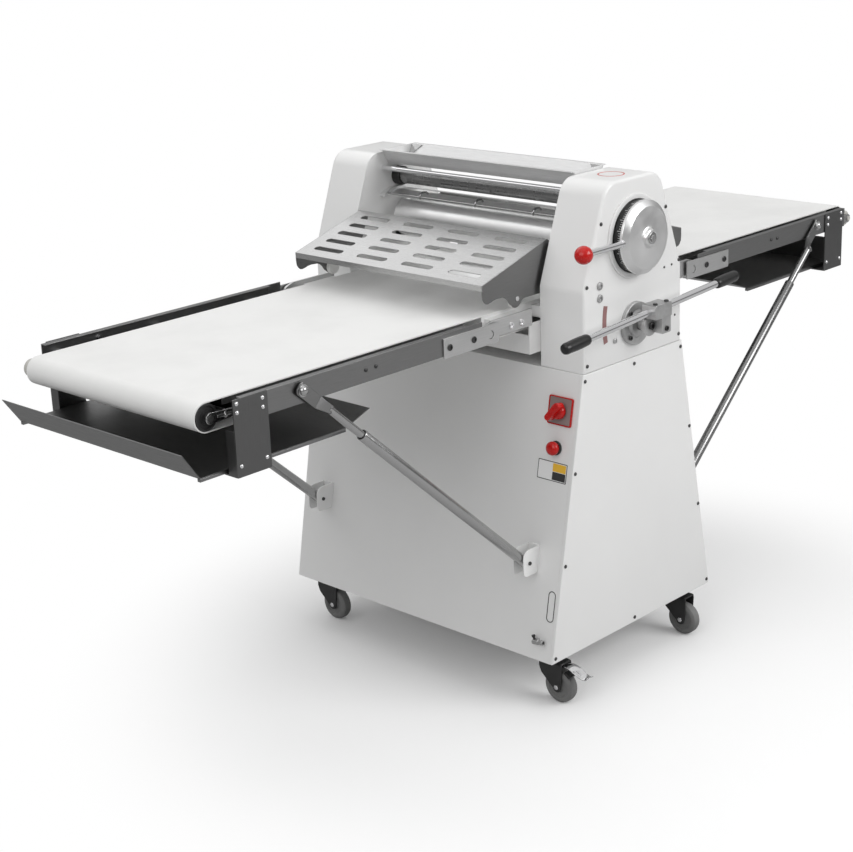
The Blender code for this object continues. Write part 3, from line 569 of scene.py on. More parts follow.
# name: (material, slot of the CAD record)
LOOKS = {
    "white": (powder_coat("powder_coat_white", (0.83, 0.83, 0.825)), "painted_white"),
    "steel_x": (brushed("stainless_along_x", grey(0.25), "X", 0.32), "stainless"),
    "steel_y": (brushed("stainless_along_y", grey(0.50), "Y", 0.28), "stainless"),
    "steel_matt": (brushed("stainless_matt", grey(0.86), "Y", 0.48), "stainless"),
    "plate_grey": (printed("switch_plate_grey", (0.27, 0.21, 0.20)), "aluminium"),
    "steel_tab": (brushed("stainless_tab", grey(0.62), "X", 0.36), "stainless"),
    "steel_dark": (brushed("steel_sheet_dark", grey(0.17), "Y", 0.36), "stainless"),
    "steel_plate": (brushed("steel_plate_grey", grey(0.15), "Z", 0.42), "stainless"),
    "steel_strut": (polished("strut_steel", grey(0.46), 0.20), "stainless"),
    "steel_roller": (polished("roller_chrome", grey(0.92), 0.34), "chrome"),
    # A darker copy of the strut steel: painted shade on the right struts and on the cross shaft under the
    # flour tray.
    "steel_painted_shade": (polished("strut_steel_painted_shade", grey(0.28), 0.26), "stainless"),
    "chrome": (polished("chrome_polished", (0.80, 0.80, 0.81), 0.07), "chrome"),
    "dial": (turned_metal("aluminium_turned"), "aluminium"),
    "cast": (cast_metal("metal_cast"), "cast_metal"),
    "black": (moulded("plastic_black", grey(0.013), 0.34, 0.2), "black_plastic"),
    "red": (moulded("plastic_red", (0.50, 0.003, 0.002), 0.25, 0.4), "red_plastic"),
    "belt": (belt_fabric("belt_coated"), "belt_fabric"),
    "dark": (painted_dark("steel_dark_painted", grey(0.055)), "dark_steel"),
    "rubber": (rubber("rubber_grey"), "grey_rubber"),
    "screw": (painted_dark("screw_dark", grey(0.12), 0.35, 1.0), "dark_steel"),
    "mark_white": (printed("print_white", grey(0.85)), "painted_white"),
    "mark_black": (printed("print_black", grey(0.03)), "black_plastic"),
    "mark_red": (printed("print_red", (0.55, 0.10, 0.09)), "red_plastic"),
    "mark_brown": (printed("print_brown", (0.30, 0.155, 0.150)), "painted_white"),
    "mark_yellow": (printed("print_yellow", (0.85, 0.50, 0.04)), "painted_white"),
    "nylon": (moulded("nylon_white", (0.80, 0.80, 0.78), 0.4, 0.1), "painted_white"),
    "cap": (moulded("cap_grey", (0.50, 0.49, 0.46), 0.35, 0.2), "aluminium"),
}


# ---- cabinet ---------------------------------------------------------------------------------------


def panel_x(z):
    share = (z - CABINET_LOW) / (CABINET_TOP - CABINET_LOW)
    return BOTTOM_X + (TOP_X - BOTTOM_X) * share


PANEL_OUT = Vector((CABINET_LOW - CABINET_TOP, 0, BOTTOM_X - TOP_X)).normalized()
PANEL_TILT = math.atan2(PANEL_OUT.z, -PANEL_OUT.x)


def on_panel(y, z, out=0.0):
    return Vector((-panel_x(z), y, z)) + PANEL_OUT * out


def trapezoid(inset=0.0):
    low = CABINET_LOW + inset
    high = CABINET_TOP - inset
    side = inset * 1.017
    return [
        (-panel_x(low) + side, low),
        (panel_x(low) - side, low),
        (panel_x(high) - side, high),
        (-panel_x(high) + side, high),
    ]


def cabinet():
    bm = bmesh.new()
    add_tube(bm, trapezoid(), trapezoid(0.003), "Y", -SHELL_Y, SHELL_Y)
    piece("cabinet_panels", bm, "white", "stand", ["cabinet_shell"], bevel=0.0003)
    for name, end in ENDS:
        cover(name, end)
        bm = bmesh.new()
        for z in (0.702, 0.513, 0.320, 0.124):
            for side in (-1, 1):
                add_screw(bm, (side * (panel_x(z) - 0.008), end * skin_y(end), z), (0, end, 0), SCREW_R)
        for z in (0.702, 0.124):
            add_screw(bm, (0, end * skin_y(end), z), (0, end, 0), SCREW_R)
        piece(f"{name}_cover_screws", bm, "screw", "stand")
    for side in (-1, 1):
        for end in (-1, 1):
            clevis(side, end)
            caster_plate(side, end)


def cover(name, end):
    """A flat cover whose outer edge is rounded."""
    soft = 0.0025
    loops = [[Vector((x, end * (SHELL_Y + 0.0002), z)) for x, z in trapezoid(0.0003)]]
    for i in range(5):
        angle = math.pi / 2 * i / 4
        inset = 0.0003 + soft * (1 - math.cos(angle))
        y = skin_y(end) - soft + soft * math.sin(angle)
        loops.append([Vector((x, end * y, z)) for x, z in trapezoid(inset)])
    bm = bmesh.new()
    add_loft(bm, loops)
    piece(f"{name}_cover_panel", bm, "white", "stand", [f"{name}_cover"])


def clevis(side, end):
    """Two rounded ears and the web between them."""
    low = CLEVIS_Z - 0.028
    high = CLEVIS_Z + 0.030
    nose = CLEVIS_X + 0.018
    ear = [(panel_x(low) - 0.001, low)] + arc(nose - 0.010, low + 0.010, 0.010, 270, 360, 5)
    ear += arc(nose - 0.018, high - 0.018, 0.018, 0, 90, 7) + [(panel_x(high) - 0.001, high)]
    web = [(panel_x(low) - 0.001, low), (panel_x(low) + 0.003, low)]
    web += [(panel_x(high) + 0.003, high), (panel_x(high) - 0.001, high)]
    bm = bmesh.new()
    for edge in (-1, 1):
        near, far = sorted((end * STRUT_Y + edge * 0.0126, end * STRUT_Y + edge * 0.0155))
        add_prism(bm, [(side * x, z) for x, z in ear], "Y", near, far)
    add_prism(bm, [(side * x, z) for x, z in web], "Y", end * STRUT_Y - 0.0154, end * STRUT_Y + 0.0154)
    name = f"{'left' if side < 0 else 'right'}_{'front' if end < 0 else 'rear'}_clevis"
    piece(name, bm, "white", "stand", bevel=0.0007)


def caster_plate(side, end):
    x = side * CASTER_X
    y = end * CASTER_Y
    bm = bmesh.new()
    add_prism(bm, rounded(x - 0.035, x + 0.035, y - 0.035, y + 0.035, 0.006), "Z", 0.1082, CABINET_LOW)
    for dx in (-0.026, 0.026):
        for dy in (-0.026, 0.026):
            add_hex(bm, (x + dx, y + dy, 0.1082), (0, 0, -1), 0.0055, 0.004)
    name = f"{'left' if side < 0 else 'right'}_{'front' if end < 0 else 'rear'}_caster_plate"
    piece(name, bm, "screw", "stand", bevel=0.0004)


def on_panel_spin(place):
    return (PANEL_TILT, "Y", place)


def controls():
    """Main switch, stop button, blank stickers and the cord gland on the left sloped panel."""
    place = on_panel(-0.346, 0.636)
    bm = bmesh.new()
    outline = rounded(place.y - 0.031, place.y + 0.031, place.z - 0.030, place.z + 0.030, 0.004)
    inner = rounded(place.y - 0.0285, place.y + 0.0285, place.z - 0.0275, place.z + 0.0275, 0.003)
    add_tube(bm, outline, inner, "X", place.x - 0.0050, place.x - 0.0003)
    piece("switch_plate_rim", bm, "red", "stand", ["switch_plate"], bevel=0.0006, spin=on_panel_spin(place))
    bm = bmesh.new()
    face = rounded(place.y - 0.0284, place.y + 0.0284, place.z - 0.0274, place.z + 0.0274, 0.003)
    add_prism(bm, face, "X", place.x - 0.0038, place.x - 0.0003)
    piece("switch_plate_face", bm, "plate_grey", "stand", bevel=0.0003, spin=on_panel_spin(place))
    hub = on_panel(-0.346, 0.636, 0.0053)
    bm = bmesh.new()
    add_turned(
        bm,
        [(0, 0.0165), (0.004, 0.0175), (0.010, 0.0165), (0.0125, 0.0145), (0.0135, 0.012)],
        hub,
        PANEL_OUT,
    )
    wing = rounded(-0.0070, 0.0070, -0.0235, 0.0235, 0.0066)
    turn = math.radians(38)
    wing = [
        (hub.y + a * math.cos(turn) - b * math.sin(turn), hub.z + a * math.sin(turn) + b * math.cos(turn))
        for a, b in wing
    ]
    bm_wing = bmesh.new()
    add_prism(bm_wing, wing, "X", hub.x - 0.028, hub.x - 0.008)
    piece("switch_knob_body", bm, "red", "switch_knob", ["switch_knob"], bevel=0.0008)
    piece(
        "switch_knob_wing", bm_wing, "red", "switch_knob", bevel=0.0022, segments=4, spin=on_panel_spin(hub)
    )
    seat = on_panel(-0.343, 0.559, 0.0004)
    bm = bmesh.new()
    bezel = [(0, 0.0150), (0.0035, 0.0150), (0.0045, 0.0142), (0.0045, 0.0128), (0, 0.0128)]
    add_turned(bm, bezel, seat, PANEL_OUT, ring=True)
    piece("stop_button_bezel", bm, "dark", "stand")
    cap = on_panel(-0.343, 0.559, 0.0050)
    bm = bmesh.new()
    dome = [(0, 0.0120), (0.0045, 0.0120), (0.0052, 0.0145), (0.0085, 0.0148), (0.0120, 0.0138)]
    dome += [(0.0148, 0.0110), (0.0164, 0.0070), (0.0170, 0.0020)]
    add_turned(bm, dome, cap, PANEL_OUT)
    piece("stop_button_cap", bm, "red", "stop_button", ["stop_button"])
    stickers()
    gland()


def stickers():
    """Blank stickers where the machine carries its signs."""
    place = on_panel(-0.339, 0.510)
    parts = (
        ("sticker_border", "mark_black", rounded(-0.0385, 0.0385, -0.0205, 0.0205, 0.002), 0.0003),
        ("sticker_ground", "mark_white", rounded(-0.0368, 0.0368, -0.0188, 0.0188, 0.0015), 0.00045),
        ("sticker_yellow", "mark_yellow", rounded(-0.0355, -0.001, 0.0005, 0.0175, 0.001), 0.0006),
        ("sticker_black", "mark_black", rounded(-0.0355, -0.001, -0.0175, -0.0005, 0.001), 0.0006),
    )
    for name, look, outline, out in parts:
        bm = bmesh.new()
        shape = [(place.y + a, place.z + b) for a, b in outline]
        add_prism(bm, shape, "X", place.x - out, place.x - 0.0001)
        piece(name, bm, look, "stand", spin=on_panel_spin(place))
    place = on_panel(-0.373, 0.232)
    outer = rounded(place.y - 0.0096, place.y + 0.0096, place.z - 0.0335, place.z + 0.0335, 0.0094, 8)
    inner = rounded(place.y - 0.0078, place.y + 0.0078, place.z - 0.0317, place.z + 0.0317, 0.0076, 8)
    bm = bmesh.new()
    add_tube(bm, outer, inner, "X", place.x - 0.0005, place.x - 0.0001)
    piece("rating_plate_frame", bm, "mark_black", "stand", spin=on_panel_spin(place))


def gland():
    """A small angled cord gland with its clamp knob, and no cord in it."""
    bm = bmesh.new()
    seat = on_panel(-0.348, 0.153)
    add_hex(bm, seat, PANEL_OUT, 0.0075, 0.0060)
    elbow = seat + PANEL_OUT * 0.0100
    profile = [(-0.0060, 0.0030), (-0.0050, 0.0058), (0.0090, 0.0058), (0.0100, 0.0046), (0.0160, 0.0046)]
    profile += [(0.0170, 0.0056), (0.0230, 0.0052), (0.0230, 0.0036), (0.0120, 0.0034)]
    add_turned(bm, profile, elbow, (0, -1, 0.12), 24)
    piece("cord_gland", bm, "cast", "stand", bevel=0.0004)
    bm = bmesh.new()
    add_turned(
        bm, [(0.003, 0.0028), (0.010, 0.0028), (0.011, 0.0042), (0.015, 0.0040)], elbow, (0, 0.3, 1), 16
    )
    piece("cord_gland_knob", bm, "dark", "stand")


# ---- head ------------------------------------------------------------------------------------------


def head_outline(inset=0.0, low=CABINET_TOP + 0.0003, steps=14):
    """Upright sides that lean in above a shoulder, and a flat top with round corners."""
    half = HEAD_R - inset
    shoulder = SHOULDER_Z - inset * math.tan(HEAD_LEAN / 2)
    centre_z = HEAD_TOP - CORNER_R
    side_x = HEAD_R - (centre_z - SHOULDER_Z) * math.tan(HEAD_LEAN)
    centre_x = side_x - CORNER_R / math.cos(HEAD_LEAN)
    lean = math.tan(HEAD_LEAN)
    right = [(half, low)]
    for i in range(5):
        share = i / 4
        z = shoulder + SHOULDER_BEND * (2 * share - 1)
        bend = SHOULDER_BEND * (1 - share) ** 2 * share * lean / 4
        right.append((half - max(z - shoulder, 0) * lean - bend, z))
    right += arc(centre_x, centre_z, CORNER_R - inset, math.degrees(HEAD_LEAN), 90, steps)
    return right + [(-x, z) for x, z in reversed(right)]


def housing(name, end):
    """A cap with a rounded front edge, open towards the rollers."""
    soft = 0.007
    loops = []
    base = CABINET_TOP + 0.0006
    loops.append([Vector((x, end * HOUSING_IN, z)) for x, z in head_outline(0.003, base + 0.003)])
    loops.append([Vector((x, end * HOUSING_IN, z)) for x, z in head_outline(0, base)])
    for i in range(7):
        angle = math.pi / 2 * i / 6
        inset = soft * (1 - math.cos(angle))
        y = skin_y(end) - soft + soft * math.sin(angle)
        loops.append([Vector((x, end * y, z)) for x, z in head_outline(inset, base + inset * 0.25)])
    bm = bmesh.new()
    inside = [[Vector((x, end * (skin_y(end) - 0.0035), z)) for x, z in head_outline(0.0035, base + 0.0035)]]
    add_loft(bm, inside + loops)
    piece(f"{name}_housing_cap", bm, "white", "stand", [f"{name}_housing"], sharp=40)


def housing_fasteners():
    bm = bmesh.new()
    face = -FACE_Y
    for end in (-1, 1):
        for side in (-1, 1):
            for x, z in ((0.108, 1.016), (0.155, 0.895), (0.156, 0.732)):
                add_screw(bm, (side * x, end * skin_y(end), z), (0, end, 0), SCREW_R)
    for dx, z in SMALL_HOLES:
        add_screw(bm, (dx, face, z), (0, -1, 0), 0.0026)
    piece("housing_screws", bm, "screw", "stand")
    bm = bmesh.new()
    for z in (0.891, 0.865):
        profile = [(0, 0.0085), (0.0025, 0.0085), (0.004, 0.0070), (0.0045, 0.0035), (0.002, 0.0030)]
        add_turned(bm, profile, (-0.1145, face, z), (0, -1, 0), 24)
    add_turned(bm, [(0, 0.0055), (0.003, 0.0055), (0.004, 0.004)], (-0.066, face, 0.766), (0, -1, 0), 20)
    piece("housing_plugs", bm, "cast", "stand", bevel=0.0003)
    bm = bmesh.new()
    middle_x, middle_z, inner, outer = LEVER_ARC
    sweep = math.degrees(0.038 / inner)
    outline = arc(middle_x, middle_z, outer, 180 - sweep, 180 + sweep, 14)
    outline += reversed(arc(middle_x, middle_z, inner, 180 - sweep, 180 + sweep, 14))
    add_prism(bm, outline, "Y", face - 0.0004, face - 0.0001)
    piece("lever_arc_mark", bm, "mark_brown", "stand")
    bm = bmesh.new()
    ring = [(0.0, 0.028), (0.0006, 0.028), (0.0006, 0.0255), (0.0, 0.0255)]
    add_turned(bm, ring, (0, -0.335, HEAD_TOP - 0.0002), (0, 0, 1), 40, ring=True)
    piece("blank_top_ring", bm, "mark_red", "stand")


def head():
    housing("front", -1)
    housing("rear", 1)
    housing_fasteners()
    for node in ("front_side_frame", "rear_side_frame", "head_base"):
        paint(node, "white")
    pan_ends()
    flour_tray()
    half_y = HOUSING_IN - 0.0003
    bm = bmesh.new()
    add_rod(bm, (-0.046, 0, 1.0595), (0, 1, 0), -half_y, half_y, 0.006, 32)
    piece("tie_bar_rod", bm, "chrome", "stand", ["tie_bar"])
    bm = bmesh.new()
    add_rod(bm, (0, 0, 1.036), (0, 1, 0), -half_y + 0.02, half_y - 0.02, 0.017, 48)
    # The cross shaft takes the darker copy of the strut steel: painted shade under the flour tray.
    piece("cross_shaft_bar", bm, "steel_painted_shade", "stand", ["cross_shaft"])
    bm = bmesh.new()
    for end in (-1, 1):
        profile = [(half_y - 0.022, 0.0172), (half_y - 0.022, 0.0195), (half_y - 0.019, 0.021)]
        profile += [(half_y, 0.021), (half_y, 0.0172)]
        add_turned(bm, profile, (0, 0, 1.036), (0, end, 0), 40, ring=True)
    piece("cross_shaft_bushes", bm, "black", "stand")
    scraper()
    rollers()


def pan_ends():
    """White plates that close the two ends of the pan under the rollers."""
    low, high = near_head("head_base")
    outline = [(-high.x + 0.0002, low.z + 0.0003), (high.x - 0.0002, low.z + 0.0003)]
    outline += [(high.x - 0.0002, 0.8130), (-high.x + 0.0002, 0.8130)]
    bm = bmesh.new()
    for end in (-1, 1):
        add_plate(bm, outline, end, 0.2752, 0.2784)
    piece("pan_end_plates", bm, "white", "stand", bevel=0.0006)


def paint(node, look):
    """Gives a CAD node that stays visible one of the looks."""
    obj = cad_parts[node]
    obj.data.materials.clear()
    obj.data.materials.append(LOOKS[look][0])


def flour_tray():
    """A folded trough with a turned-out rim and triangular gussets in its corners. The gussets are darker
    than the trough: painted shade in its corners.
    """
    sheet = 0.0015
    bottom = flour_low.z
    top = flour_high.z
    half_y = flour_high.y
    rim = flour_high.x
    right = [(0.031, bottom), (rim - 0.008, top - sheet), (rim, top - sheet), (rim, top)]
    right += [(rim - 0.009, top), (0.0303, bottom + sheet)]
    left = [(-x, z) for x, z in reversed(right)]
    bm = bmesh.new()
    add_prism(bm, right + left, "Y", -half_y, half_y)
    piece("flour_trough", bm, "steel_matt", "stand", ["flour_tray"], bevel=0.0004)
    bm = bmesh.new()
    for end in (-1, 1):
        plate = [(-0.030, bottom + 0.001), (0.030, bottom + 0.001), (rim - 0.010, top - 0.0006)]
        plate += [(-rim + 0.010, top - 0.0006)]
        add_plate(bm, plate, end, half_y - sheet, half_y - 0.0001)
    piece("flour_tray_ends", bm, "steel_matt", "stand", bevel=0.0003)
    bm = bmesh.new()
    for end in (-1, 1):
        for side in (-1, 1):
            inner = end * (half_y - 0.034)
            outer = end * (half_y - sheet)
            wall_top = Vector((side * (rim - 0.0105), 0, top - 0.001))
            wall_low = Vector((side * 0.0315, 0, bottom + 0.003))
            corner = [
                wall_top + Vector((0, outer, 0)),
                wall_top + Vector((0, inner, 0)),
                wall_low + Vector((0, outer, 0)),
            ]
            lift = Vector((-side * sheet, 0, 0))
            add_loft(bm, [corner, [p + lift for p in corner]])
    # The gussets take a darker steel than the trough: painted shade in the tray's corners.
    piece("flour_tray_shaded_gussets", bm, "steel_strut", "stand", bevel=0.0003)


def scraper():
    """A blade on each side, end arms, and wire clips that hold a thin rod along the left blade."""
    half_y = HOUSING_IN - 0.0008
    bm = bmesh.new()
    arm = [(0.0120, 1.0065), (0.0600, 0.9965), (0.0600, 1.0020), (0.0340, 1.0120), (0.0120, 1.0135)]
    arm += [(-x, z) for x, z in reversed(arm)]
    for side in (-1, 1):
        blade = [(0.048, 0.9987), (0.012, 1.0062), (0.012, 1.0078), (0.048, 1.0003)]
        add_prism(bm, [(side * x, z) for x, z in blade], "Y", -half_y, half_y)
    for end in (-1, 1):
        add_plate(bm, arm, end, half_y - 0.012, half_y + 0.0004)
    piece("scraper_blades", bm, "steel_matt", "roller_carrier", ["upper_scraper"], bevel=0.0004)
    bm = bmesh.new()
    rod_end = half_y - 0.014
    add_rod(bm, (-0.047, 0, 1.0030), (0, 1, 0), -rod_end, rod_end, 0.0024, 12)
    for y in (-0.165, 0.0, 0.165):
        hook = [(-0.022, 1.0065), (-0.028, 1.0115), (-0.038, 1.0125), (-0.0470, 1.0090), (-0.0502, 1.0030)]
        hook.append((-0.0470, 0.9995))
        add_path(bm, [(x, y, z) for x, z in hook], 0.0024)
    piece("scraper_clips", bm, "steel_strut", "roller_carrier")


def rollers():
    for name, z, body in (("upper", UPPER_Z, "upper_roller"), ("lower", LOWER_Z, "lower_roller")):
        bm = bmesh.new()
        reach = 0.2995
        profile = [(-reach, 0.0138), (-reach + 0.001, 0.0145), (-0.2552, 0.0145), (-0.2550, 0.0425)]
        profile += [(-0.2535, ROLLER_R)]
        profile += [(-a, r) for a, r in reversed(profile)]
        add_turned(bm, profile, (0, 0, z), (0, 1, 0), 72)
        piece(f"{name}_sheeting_roller", bm, "steel_roller", body, [f"{name}_roller"])
    for name, side in SIDES:
        bm = bmesh.new()
        profile = [(-0.2995, 0.0095), (-0.2990, 0.0100), (-0.2510, 0.0100), (-0.2505, 0.0240)]
        profile += [(-0.2495, 0.0250)]
        profile += [(-a, r) for a, r in reversed(profile)]
        add_turned(bm, profile, (side * DRUM_X, 0, LOOP_Z), (0, 1, 0), 48)
        piece(f"{name}_drive_drum_roller", bm, "steel_y", f"{name}_drive_drum", [f"{name}_drive_drum"])
    paint("motor", "dark")


# ---- dial and lever -----------------------------------------------------------------------------------


def dial():
    ring_r = 0.0745
    face = -FACE_Y - 0.0003
    back = -0.4138
    bm = bmesh.new()
    ring = [(face, 0.0135), (face, ring_r + 0.0010), (face - 0.004, ring_r + 0.0010), (face - 0.0045, ring_r)]
    ring += [(back, ring_r), (back, 0.0135)]
    add_turned(bm, ring, (0, 0, DIAL_Z), (0, 1, 0), 96, ring=True)
    piece("graduated_ring", bm, "black", "stand", ["scale_ring"])
    bm = bmesh.new()
    marks = 100
    for i in range(marks):
        angle = WHOLE_TURN * i / marks
        length = 0.0085 if i % 5 == 0 else 0.0045
        out = Vector((math.cos(angle), 0, math.sin(angle)))
        across = Vector((-math.sin(angle), 0, math.cos(angle))) * 0.00035
        start = Vector((0, back + 0.0006, DIAL_Z)) + out * (ring_r - 0.0002)
        loop = [start - across, start + across, start + across + out * 0.0004, start - across + out * 0.0004]
        add_loft(bm, [loop, [p + Vector((0, length, 0)) for p in loop]])
    piece("graduation_marks", bm, "mark_white", "stand")
    bm = bmesh.new()
    disc = [(back - 0.0004, 0.0120), (back - 0.0004, 0.0752), (back - 0.0014, 0.0765), (-0.4200, 0.0765)]
    disc += [(-0.4208, 0.0762), (-0.4300, 0.0655), (-0.4305, 0.0645), (-0.4305, 0.0245), (-0.4312, 0.0225)]
    disc += [(-0.4325, 0.0205), (-0.4385, 0.0180), (-0.4395, 0.0165), (-0.4395, 0.0120)]
    add_turned(bm, [(-0.3450, 0.0120)] + disc, (0, 0, DIAL_Z), (0, 1, 0), 96)
    piece("dial_disc_body", bm, "dial", "dial", ["dial_disc"], sharp=22)
    bm = bmesh.new()
    washer = [(0, 0.0125), (0.0010, 0.0125), (0.0014, 0.0118), (0.0014, 0.0080)]
    add_turned(bm, washer, (0, -0.4396, DIAL_Z), (0, -1, 0), 32)
    add_hex(bm, (0, -0.4396, DIAL_Z), (0, -1, 0), 0.0078, 0.0040)
    piece("dial_hub_bolt", bm, "steel_strut", "dial", bevel=0.0004)
    bm = bmesh.new()
    boss = [(-FACE_Y - 0.0002, 0.0770), (-FACE_Y - 0.0002, 0.0870), (-FACE_Y - 0.0030, 0.0870)]
    boss += [(-FACE_Y - 0.0042, 0.0858), (-FACE_Y - 0.0045, 0.0840), (-FACE_Y - 0.0045, 0.0770)]
    add_turned(bm, boss, (0, 0, DIAL_Z), (0, 1, 0), 96, ring=True)
    piece("dial_boss_ring", bm, "white", "stand")
    reach = 0.200
    y = -0.4223
    bm = bmesh.new()
    add_rod(bm, (0, y, DIAL_Z), (-1, 0, 0), 0.0767, reach - 0.0150, 0.0072, 24)
    add_turned(
        bm,
        [(0.0767, 0.0085), (0.0805, 0.0085), (0.0815, 0.0076), (0.0815, 0.0060)],
        (0, y, DIAL_Z),
        (-1, 0, 0),
        24,
    )
    piece("dial_handle_rod", bm, "chrome", "dial", ["dial_handle"])
    bm = bmesh.new()
    ball_r = 0.0187
    profile = []
    for i in range(17):
        angle = math.radians(-62 + 151 * i / 16)
        profile.append((reach + ball_r * math.sin(angle), max(ball_r * math.cos(angle), 0.0004)))
    add_turned(bm, profile, (0, y, DIAL_Z), (-1, 0, 0), 40)
    piece("dial_ball_knob", bm, "red", "dial", ["dial_ball"])


def lever():
    face = -FACE_Y - 0.0003
    bm = bmesh.new()
    flange = [(face, 0.0125), (face, 0.0460), (-0.4010, 0.0460), (-0.4025, 0.0445), (-0.4030, 0.0300)]
    flange += [(-0.4085, 0.0265), (-0.4090, 0.0250), (-0.4090, 0.0125)]
    add_turned(bm, flange, (0, 0, LEVER_Z), (0, 1, 0), 64, ring=True)
    piece("lever_flange_body", bm, "cast", "stand", ["lever_flange"])
    bm = bmesh.new()
    for i in range(4):
        angle = math.pi / 4 + math.pi / 2 * i
        place = (0.0365 * math.cos(angle), -0.4026, LEVER_Z + 0.0365 * math.sin(angle))
        add_socket_screw(bm, place, (0, -1, 0), 0.0050, 0.0038)
    piece("lever_flange_screws", bm, "screw", "stand")
    slope = math.radians(3.3)
    along = (math.cos(slope), 0, math.sin(slope))
    rod_middle = (0, -0.445, 0.824)
    bm = bmesh.new()
    body = rounded(-0.0190, 0.0370, 0.8085, 0.8390, 0.004)
    add_prism(bm, body, "Y", -0.4625, -0.4275)
    add_prism(bm, rounded(0.0060, 0.0370, 0.7740, 0.8120, 0.004), "Y", -0.4600, -0.4275)
    hub = [(-0.4250, 0.0200), (-0.4262, 0.0215), (-0.4360, 0.0215), (-0.4372, 0.0200)]
    add_turned(bm, hub, (0.0, 0, LEVER_Z), (0, 1, 0), 40)
    add_rod(bm, (0, 0, LEVER_Z), (0, 1, 0), -0.4270, -0.3500, 0.0110, 32)
    piece("lever_clamp_block", bm, "cast", "lever", ["lever_clamp"], bevel=0.0010)
    bm = bmesh.new()
    for x, z in ((-0.010, 0.8385), (0.028, 0.8385)):
        add_hex(bm, (x, -0.4545, z), (0, 0, 1), 0.0050, 0.0040)
    add_socket_screw(bm, (0.0215, -0.4598, 0.7840), (0, -1, 0), 0.0055, 0.0030)
    add_socket_screw(bm, (0.0368, -0.4440, 0.7905), (1, 0, 0), 0.0055, 0.0050)
    add_socket_screw(bm, (-0.0005, -0.4370, LEVER_Z), (0, -1, 0), 0.0075, 0.0050)
    piece("lever_clamp_screws", bm, "screw", "lever")
    half = 0.294
    bm = bmesh.new()
    add_rod(bm, rod_middle, along, -half + 0.012, half - 0.012, 0.008, 32)
    piece("lever_long_rod", bm, "chrome", "lever", ["lever_rod"])
    for name, side in SIDES:
        bm = bmesh.new()
        start = half - 0.075
        grip = [(start, 0.0084), (start, 0.0104), (start + 0.002, 0.0112), (start + 0.006, 0.0118)]
        for i in range(9):
            share = i / 8
            swell = 0.0118 + 0.0007 * math.sin(math.pi * share)
            grip.append((start + 0.008 + 0.052 * share, swell))
        grip += [(half - 0.008, 0.0120), (half - 0.003, 0.0105), (half, 0.0060), (half, 0.0010)]
        axis = [side * c for c in along]
        add_turned(bm, grip, rod_middle, axis, 32)
        piece(f"lever_{name}_grip", bm, "black", "lever", [f"lever_grip_{name}"])


# ---- tables ---------------------------------------------------------------------------------------------


def belt(table, turn):
    """One endless belt round the drum and the end roller."""
    thick = 0.0025
    step = 0.011
    inner = LOOP_R - thick
    skin = 0.0001
    path = []

    def run(x0, x1, z, normal):
        count = max(2, int(abs(x1 - x0) / step))
        for i in range(count):
            x = x0 + (x1 - x0) * i / count
            path.append(((x, z), normal))

    def bend(cx, start, end):
        for i in range(16):
            angle = math.radians(start + (end - start) * i / 16)
            normal = (math.cos(angle), math.sin(angle))
            path.append(((cx + inner * normal[0], LOOP_Z + inner * normal[1]), normal))

    run(-DRUM_X, -END_X, LOOP_Z + inner, (0, 1))
    bend(-END_X, 90, 270)
    run(-END_X, -DRUM_X, LOOP_Z - inner, (0, -1))
    bend(-DRUM_X, -90, 90)
    bm = bmesh.new()
    rows = []
    half = BELT_Y - 0.0002
    corners = ((skin, -half), (thick - skin, -half), (thick - skin, half), (skin, half))
    for (x, z), (nx, nz) in path:
        rows.append([Vector((x + nx * out, y, z + nz * out)) for out, y in corners])
    add_loft(bm, rows, closed=True)
    obj = piece(
        f"{table}_endless_belt", bm, "belt", None, [f"{table}_belt", f"{table}_belt_inner"], turn=turn
    )
    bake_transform(obj)


def rail_outline(end):
    web = RAIL_Y - 0.0025
    lip = RAIL_Y - 0.0135
    outline = [(RAIL_Y, RAIL_LOW), (RAIL_Y, RAIL_TOP), (lip, RAIL_TOP), (lip, RAIL_TOP - 0.0025)]
    outline += [(web, RAIL_TOP - 0.0025), (web, RAIL_LOW + 0.0025), (lip, RAIL_LOW + 0.0025), (lip, RAIL_LOW)]
    return [(end * y, z) for y, z in outline]


def table_frame(table, turn):
    body = f"{table}_table"
    bm = bmesh.new()
    for end in (-1, 1):
        add_prism(bm, rail_outline(end), "X", -0.985, -0.400)
        near, far = sorted((end * (RAIL_Y - 0.0025), end * RAIL_Y))
        add_box(bm, -0.4002, -0.362, near, far, RAIL_LOW, RAIL_TOP)
    piece(f"{table}_side_rails", bm, "steel_x", body, [f"{table}_table_frame"], bevel=0.0008, turn=turn)
    bm = bmesh.new()
    add_box(bm, -0.985, -0.362, -0.245, 0.245, 0.8330, BELT_TOP - 0.0036)
    for x in (0.945, 0.700, 0.440):
        add_box(bm, -x - 0.010, -x + 0.010, -RAIL_Y + 0.0027, RAIL_Y - 0.0027, 0.8132, 0.8329)
    piece(f"{table}_slider_bed", bm, "steel_x", body, bevel=0.0010, turn=turn)
    bm = bmesh.new()
    for end in (-1, 1):
        near, far = sorted((end * (RAIL_Y + 0.0002), end * (RAIL_Y + 0.0032)))
        tab = rounded(-0.477, -0.317, 0.806, 0.846, 0.0015, 2)
        hole = hole_outline(-HINGE_X, HINGE_Z, 0.0088, len(tab))
        add_tube(bm, tab, hole, "Y", near, far)
    piece(f"{table}_hinge_tabs", bm, "steel_tab", body, bevel=0.0004, turn=turn)
    end_plates(table, turn)
    rail_fasteners(table, turn)


def hole_outline(cx, cz, radius, count):
    """A round hole with as many points as the outline that it is paired with."""
    angles = [WHOLE_TURN * (i + 0.5) / count for i in range(count)]
    return [(cx + radius * math.cos(a), cz + radius * math.sin(a)) for a in angles]


